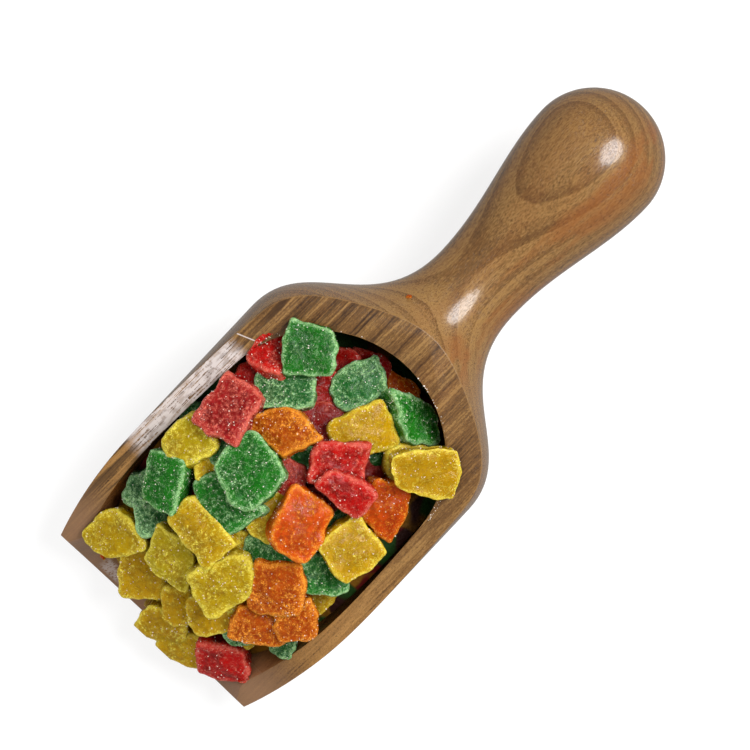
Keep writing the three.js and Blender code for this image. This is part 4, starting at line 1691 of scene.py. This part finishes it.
    def _stray_places(self, draw: np.random.Generator) -> np.ndarray:
        """Return places for stray grains on the rim beside the bore, most of them at its right.

        Args:
            draw: Where the chances come from.

        Returns:
            One row of three coordinates per grain, in metres.
        """
        scoop = self.scoop
        line = np.array(scoop.cut_line())
        station = draw.uniform(*self.stray_stations, self.stray_count)
        height = np.interp(station, line[:, 0], line[:, 1])
        run = np.clip((station - scoop.bore_length) / (scoop.bore_end - scoop.bore_length), 0, 1)
        inner = np.sqrt(scoop.bore_radius**2 * (1 - run**2) - height**2)
        side = np.where(draw.random(self.stray_count) < self.stray_right_share, -1.0, 1.0)
        across = side * (inner + draw.uniform(*self.stray_gap, self.stray_count))
        points = [station + MOUTH_PLACE, across, height + AXIS_HEIGHT + self.stray_rise]
        return np.stack(points, axis=1) * MM


@dataclass(frozen=True)
class Crumbs:
    """Crumbs of fruit that have dropped on the shoulder and on the lip of the scoop."""

    kind: Kind = ORANGE
    places: tuple[Size, ...] = ((115.8, 12.2, 13.7), (3.9, 22.2, -27.9))
    size: Size = (1.5, 1.1, 0.9)
    shrink: float = 0.8
    cuts: int = 3
    seed: int = 3

    def build(self, material: bpy.types.Material) -> bpy.types.Object:
        """Return the crumbs as one piece, in the material of their kind.

        Args:
            material: The finish of the fruit that they come from.

        Returns:
            The piece.
        """
        template = SoftBlock(cuts=self.cuts)
        draw = random.Random(self.seed)
        corners, faces = [], []
        for number, spot in enumerate(self.places):
            shape, _ = template.shaped(Block(self.kind, spot[:2], self.size, 0), draw)
            corners.append(shape * (MM * self.shrink) + np.array(place(*spot)))
            faces.append(template.faces + number * len(shape))
        piece = mesh_from_arrays("orange_crumbs", np.concatenate(corners), np.concatenate(faces))
        piece.data.materials.append(material)
        return piece


@dataclass
class GrainScatter:
    """Tiny crystals, each a cube stretched and turned by chance."""

    draw: np.random.Generator
    smallest: float = 0.1
    largest: float = 0.27
    stretch: Point = (0.6, 1.2)

    def build(
        self, name: str, places: np.ndarray, material: bpy.types.Material
    ) -> bpy.types.Object:
        """Join one crystal at each place to one piece.

        Args:
            name: The piece's name.
            places: The crystals' places, in metres.
            material: Their material.

        Returns:
            The piece.
        """
        deselect_all()
        bpy.ops.mesh.primitive_cube_add(size=1)
        cube = bpy.context.object
        corners = np.array([vertex.co for vertex in cube.data.vertices])
        faces = np.array([face.vertices for face in cube.data.polygons])
        bpy.data.objects.remove(cube, do_unlink=True)
        count = len(places)
        sizes = self.draw.uniform(self.smallest, self.largest, (count, 1, 1)) * MM
        stretch = self.draw.uniform(*self.stretch, (count, 1, 3))
        turns, _ = np.linalg.qr(self.draw.normal(size=(count, 3, 3)))
        turns[np.linalg.det(turns) < 0, :, 0] *= -1
        shaped = np.einsum("nij,nkj->nki", turns, corners[None] * sizes * stretch)
        points = (shaped + places[:, None, :]).reshape(-1, 3)
        every = (faces[None] + (np.arange(count) * len(corners))[:, None, None]).reshape(-1, 4)
        piece = mesh_from_arrays(name, points, every)
        piece.data.materials.append(material)
        return piece


# ---------------------------------------------------------------- the studio


@dataclass(frozen=True)
class SoftLight:
    """An oval light that faces what the camera looks at.

    Its place is given from there along the camera's axes, and its size along and across the
    scoop, all in metres. Its power is in watts.
    """

    name: str
    right: float
    up: float
    back: float
    size: Point
    power: float
    mirrored: bool = False

    def hang(self, aim: Vector, axes: Sequence[Vector]) -> None:
        """Hang the light in the scene.

        Args:
            aim: The point that it faces.
            axes: The camera's right, up and backward directions.
        """
        right, up, back = axes
        at = aim + (right * self.right + up * self.up + back * self.back)
        data = bpy.data.lights.new(self.name, "AREA")
        data.shape = "ELLIPSE"
        data.size, data.size_y = self.size
        data.energy = self.power
        behind = (at - aim).normalized()
        across = behind.cross(Vector((1, 0, 0))).normalized()
        light = bpy.data.objects.new(self.name, data)
        turn = Matrix((across.cross(behind), across, behind)).transposed().to_4x4()
        light.matrix_world = Matrix.Translation(at) @ turn
        light.visible_glossy = self.mirrored
        bpy.context.scene.collection.objects.link(light)


@dataclass
class Studio:
    """A pale floor, soft lights and a camera that looks almost straight down."""

    axis_angle: float = 46.8
    side_tilt: float = 4.0
    aim_station: float = 93.5
    aim_across: float = 3.27
    frame_width: float = 210.7
    lens: float = 1200.0
    sensor: float = 36.0
    nearest: float = 0.05
    floor_size: float = 8.0
    floor_grey: float = 0.22
    floor_glow: float = 0.78
    floor_roughness: float = 0.9
    sky_strength: float = 0.38
    lights: tuple[SoftLight, ...] = (
        SoftLight("key", 0.5, 0.21, 0.84, (0.86, 0.5), 16.6, mirrored=True),
        SoftLight("overhead", -0.35, 0.45, 1.0, (0.9, 0.9), 2.5),
        SoftLight("front", -0.5, -0.7, 0.8, (0.8, 0.8), 4.8),
    )

    def build(self) -> None:
        """Make the camera, the lights and the floor."""
        axes = self._view_axes()
        right, up, _ = axes
        angle = math.radians(self.axis_angle)
        across = up * math.cos(angle) - right * math.sin(angle)
        aim = place(self.aim_station, 0, 0) + across * (self.aim_across * MM)
        self._camera(aim, axes)
        self._floor()
        self._world()
        for light in self.lights:
            light.hang(aim, axes)

    def _view_axes(self) -> tuple[Vector, Vector, Vector]:
        """Return the camera's right, up and backward directions."""
        tilt = math.radians(self.side_tilt)
        turn = math.radians(self.axis_angle)
        along = Vector((1, 0, 0))
        across = Vector((0, math.cos(tilt), -math.sin(tilt)))
        right = along * math.cos(turn) - across * math.sin(turn)
        up = along * math.sin(turn) + across * math.cos(turn)
        return right, up, right.cross(up)

    def _camera(self, aim: Vector, axes: Sequence[Vector]) -> None:
        """Place the camera so that its frame is as wide as the photograph's.

        Args:
            aim: The point in the middle of the frame.
            axes: The camera's right, up and backward directions.
        """
        data = bpy.data.cameras.new("camera")
        data.lens = self.lens
        data.sensor_width = self.sensor
        data.clip_start = self.nearest
        distance = self.frame_width * MM * self.lens / self.sensor
        camera = bpy.data.objects.new("camera", data)
        turn = Matrix(axes).transposed().to_4x4()
        camera.matrix_world = Matrix.Translation(aim + axes[2] * distance) @ turn
        bpy.context.scene.collection.objects.link(camera)
        bpy.context.scene.camera = camera

    def _floor(self) -> None:
        """Lay a plain pale floor under the scoop."""
        deselect_all()
        bpy.ops.mesh.primitive_plane_add(size=self.floor_size)
        floor = bpy.context.object
        floor.name = "floor"
        pale = Shader("pale_floor").finish(
            Base_Color=(self.floor_grey,) * 3,
            Roughness=self.floor_roughness,
            Emission_Color=(1.0, 1.0, 1.0),
            Emission_Strength=self.floor_glow,
        )
        floor.data.materials.append(pale)
        floor.visible_glossy = False

    def _world(self) -> None:
        """Fill the shadows with even white light."""
        world = bpy.data.worlds.new("soft_white")
        world.use_nodes = True
        background = world.node_tree.nodes["Background"]
        background.inputs["Color"].default_value = (1.0, 1.0, 1.0, 1.0)
        background.inputs["Strength"].default_value = self.sky_strength
        bpy.context.scene.world = world
        bpy.context.scene.view_settings.view_transform = "Standard"


# ---------------------------------------------------------------- the whole


def main() -> None:
    """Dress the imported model."""
    logging.basicConfig(level=logging.INFO, format="%(name)s: %(message)s")
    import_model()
    scoop = Scoop()
    pieces = [scoop.build(), *FruitHeap(scoop).build()]
    pieces.append(Crumbs().build(bpy.data.materials["candied_orange"]))
    for piece in pieces:
        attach(piece, ROOT)
        LOG.info("%s: %d faces", piece.name, len(piece.data.polygons))
    Studio().build()


if __name__ == "__main__":
    main()
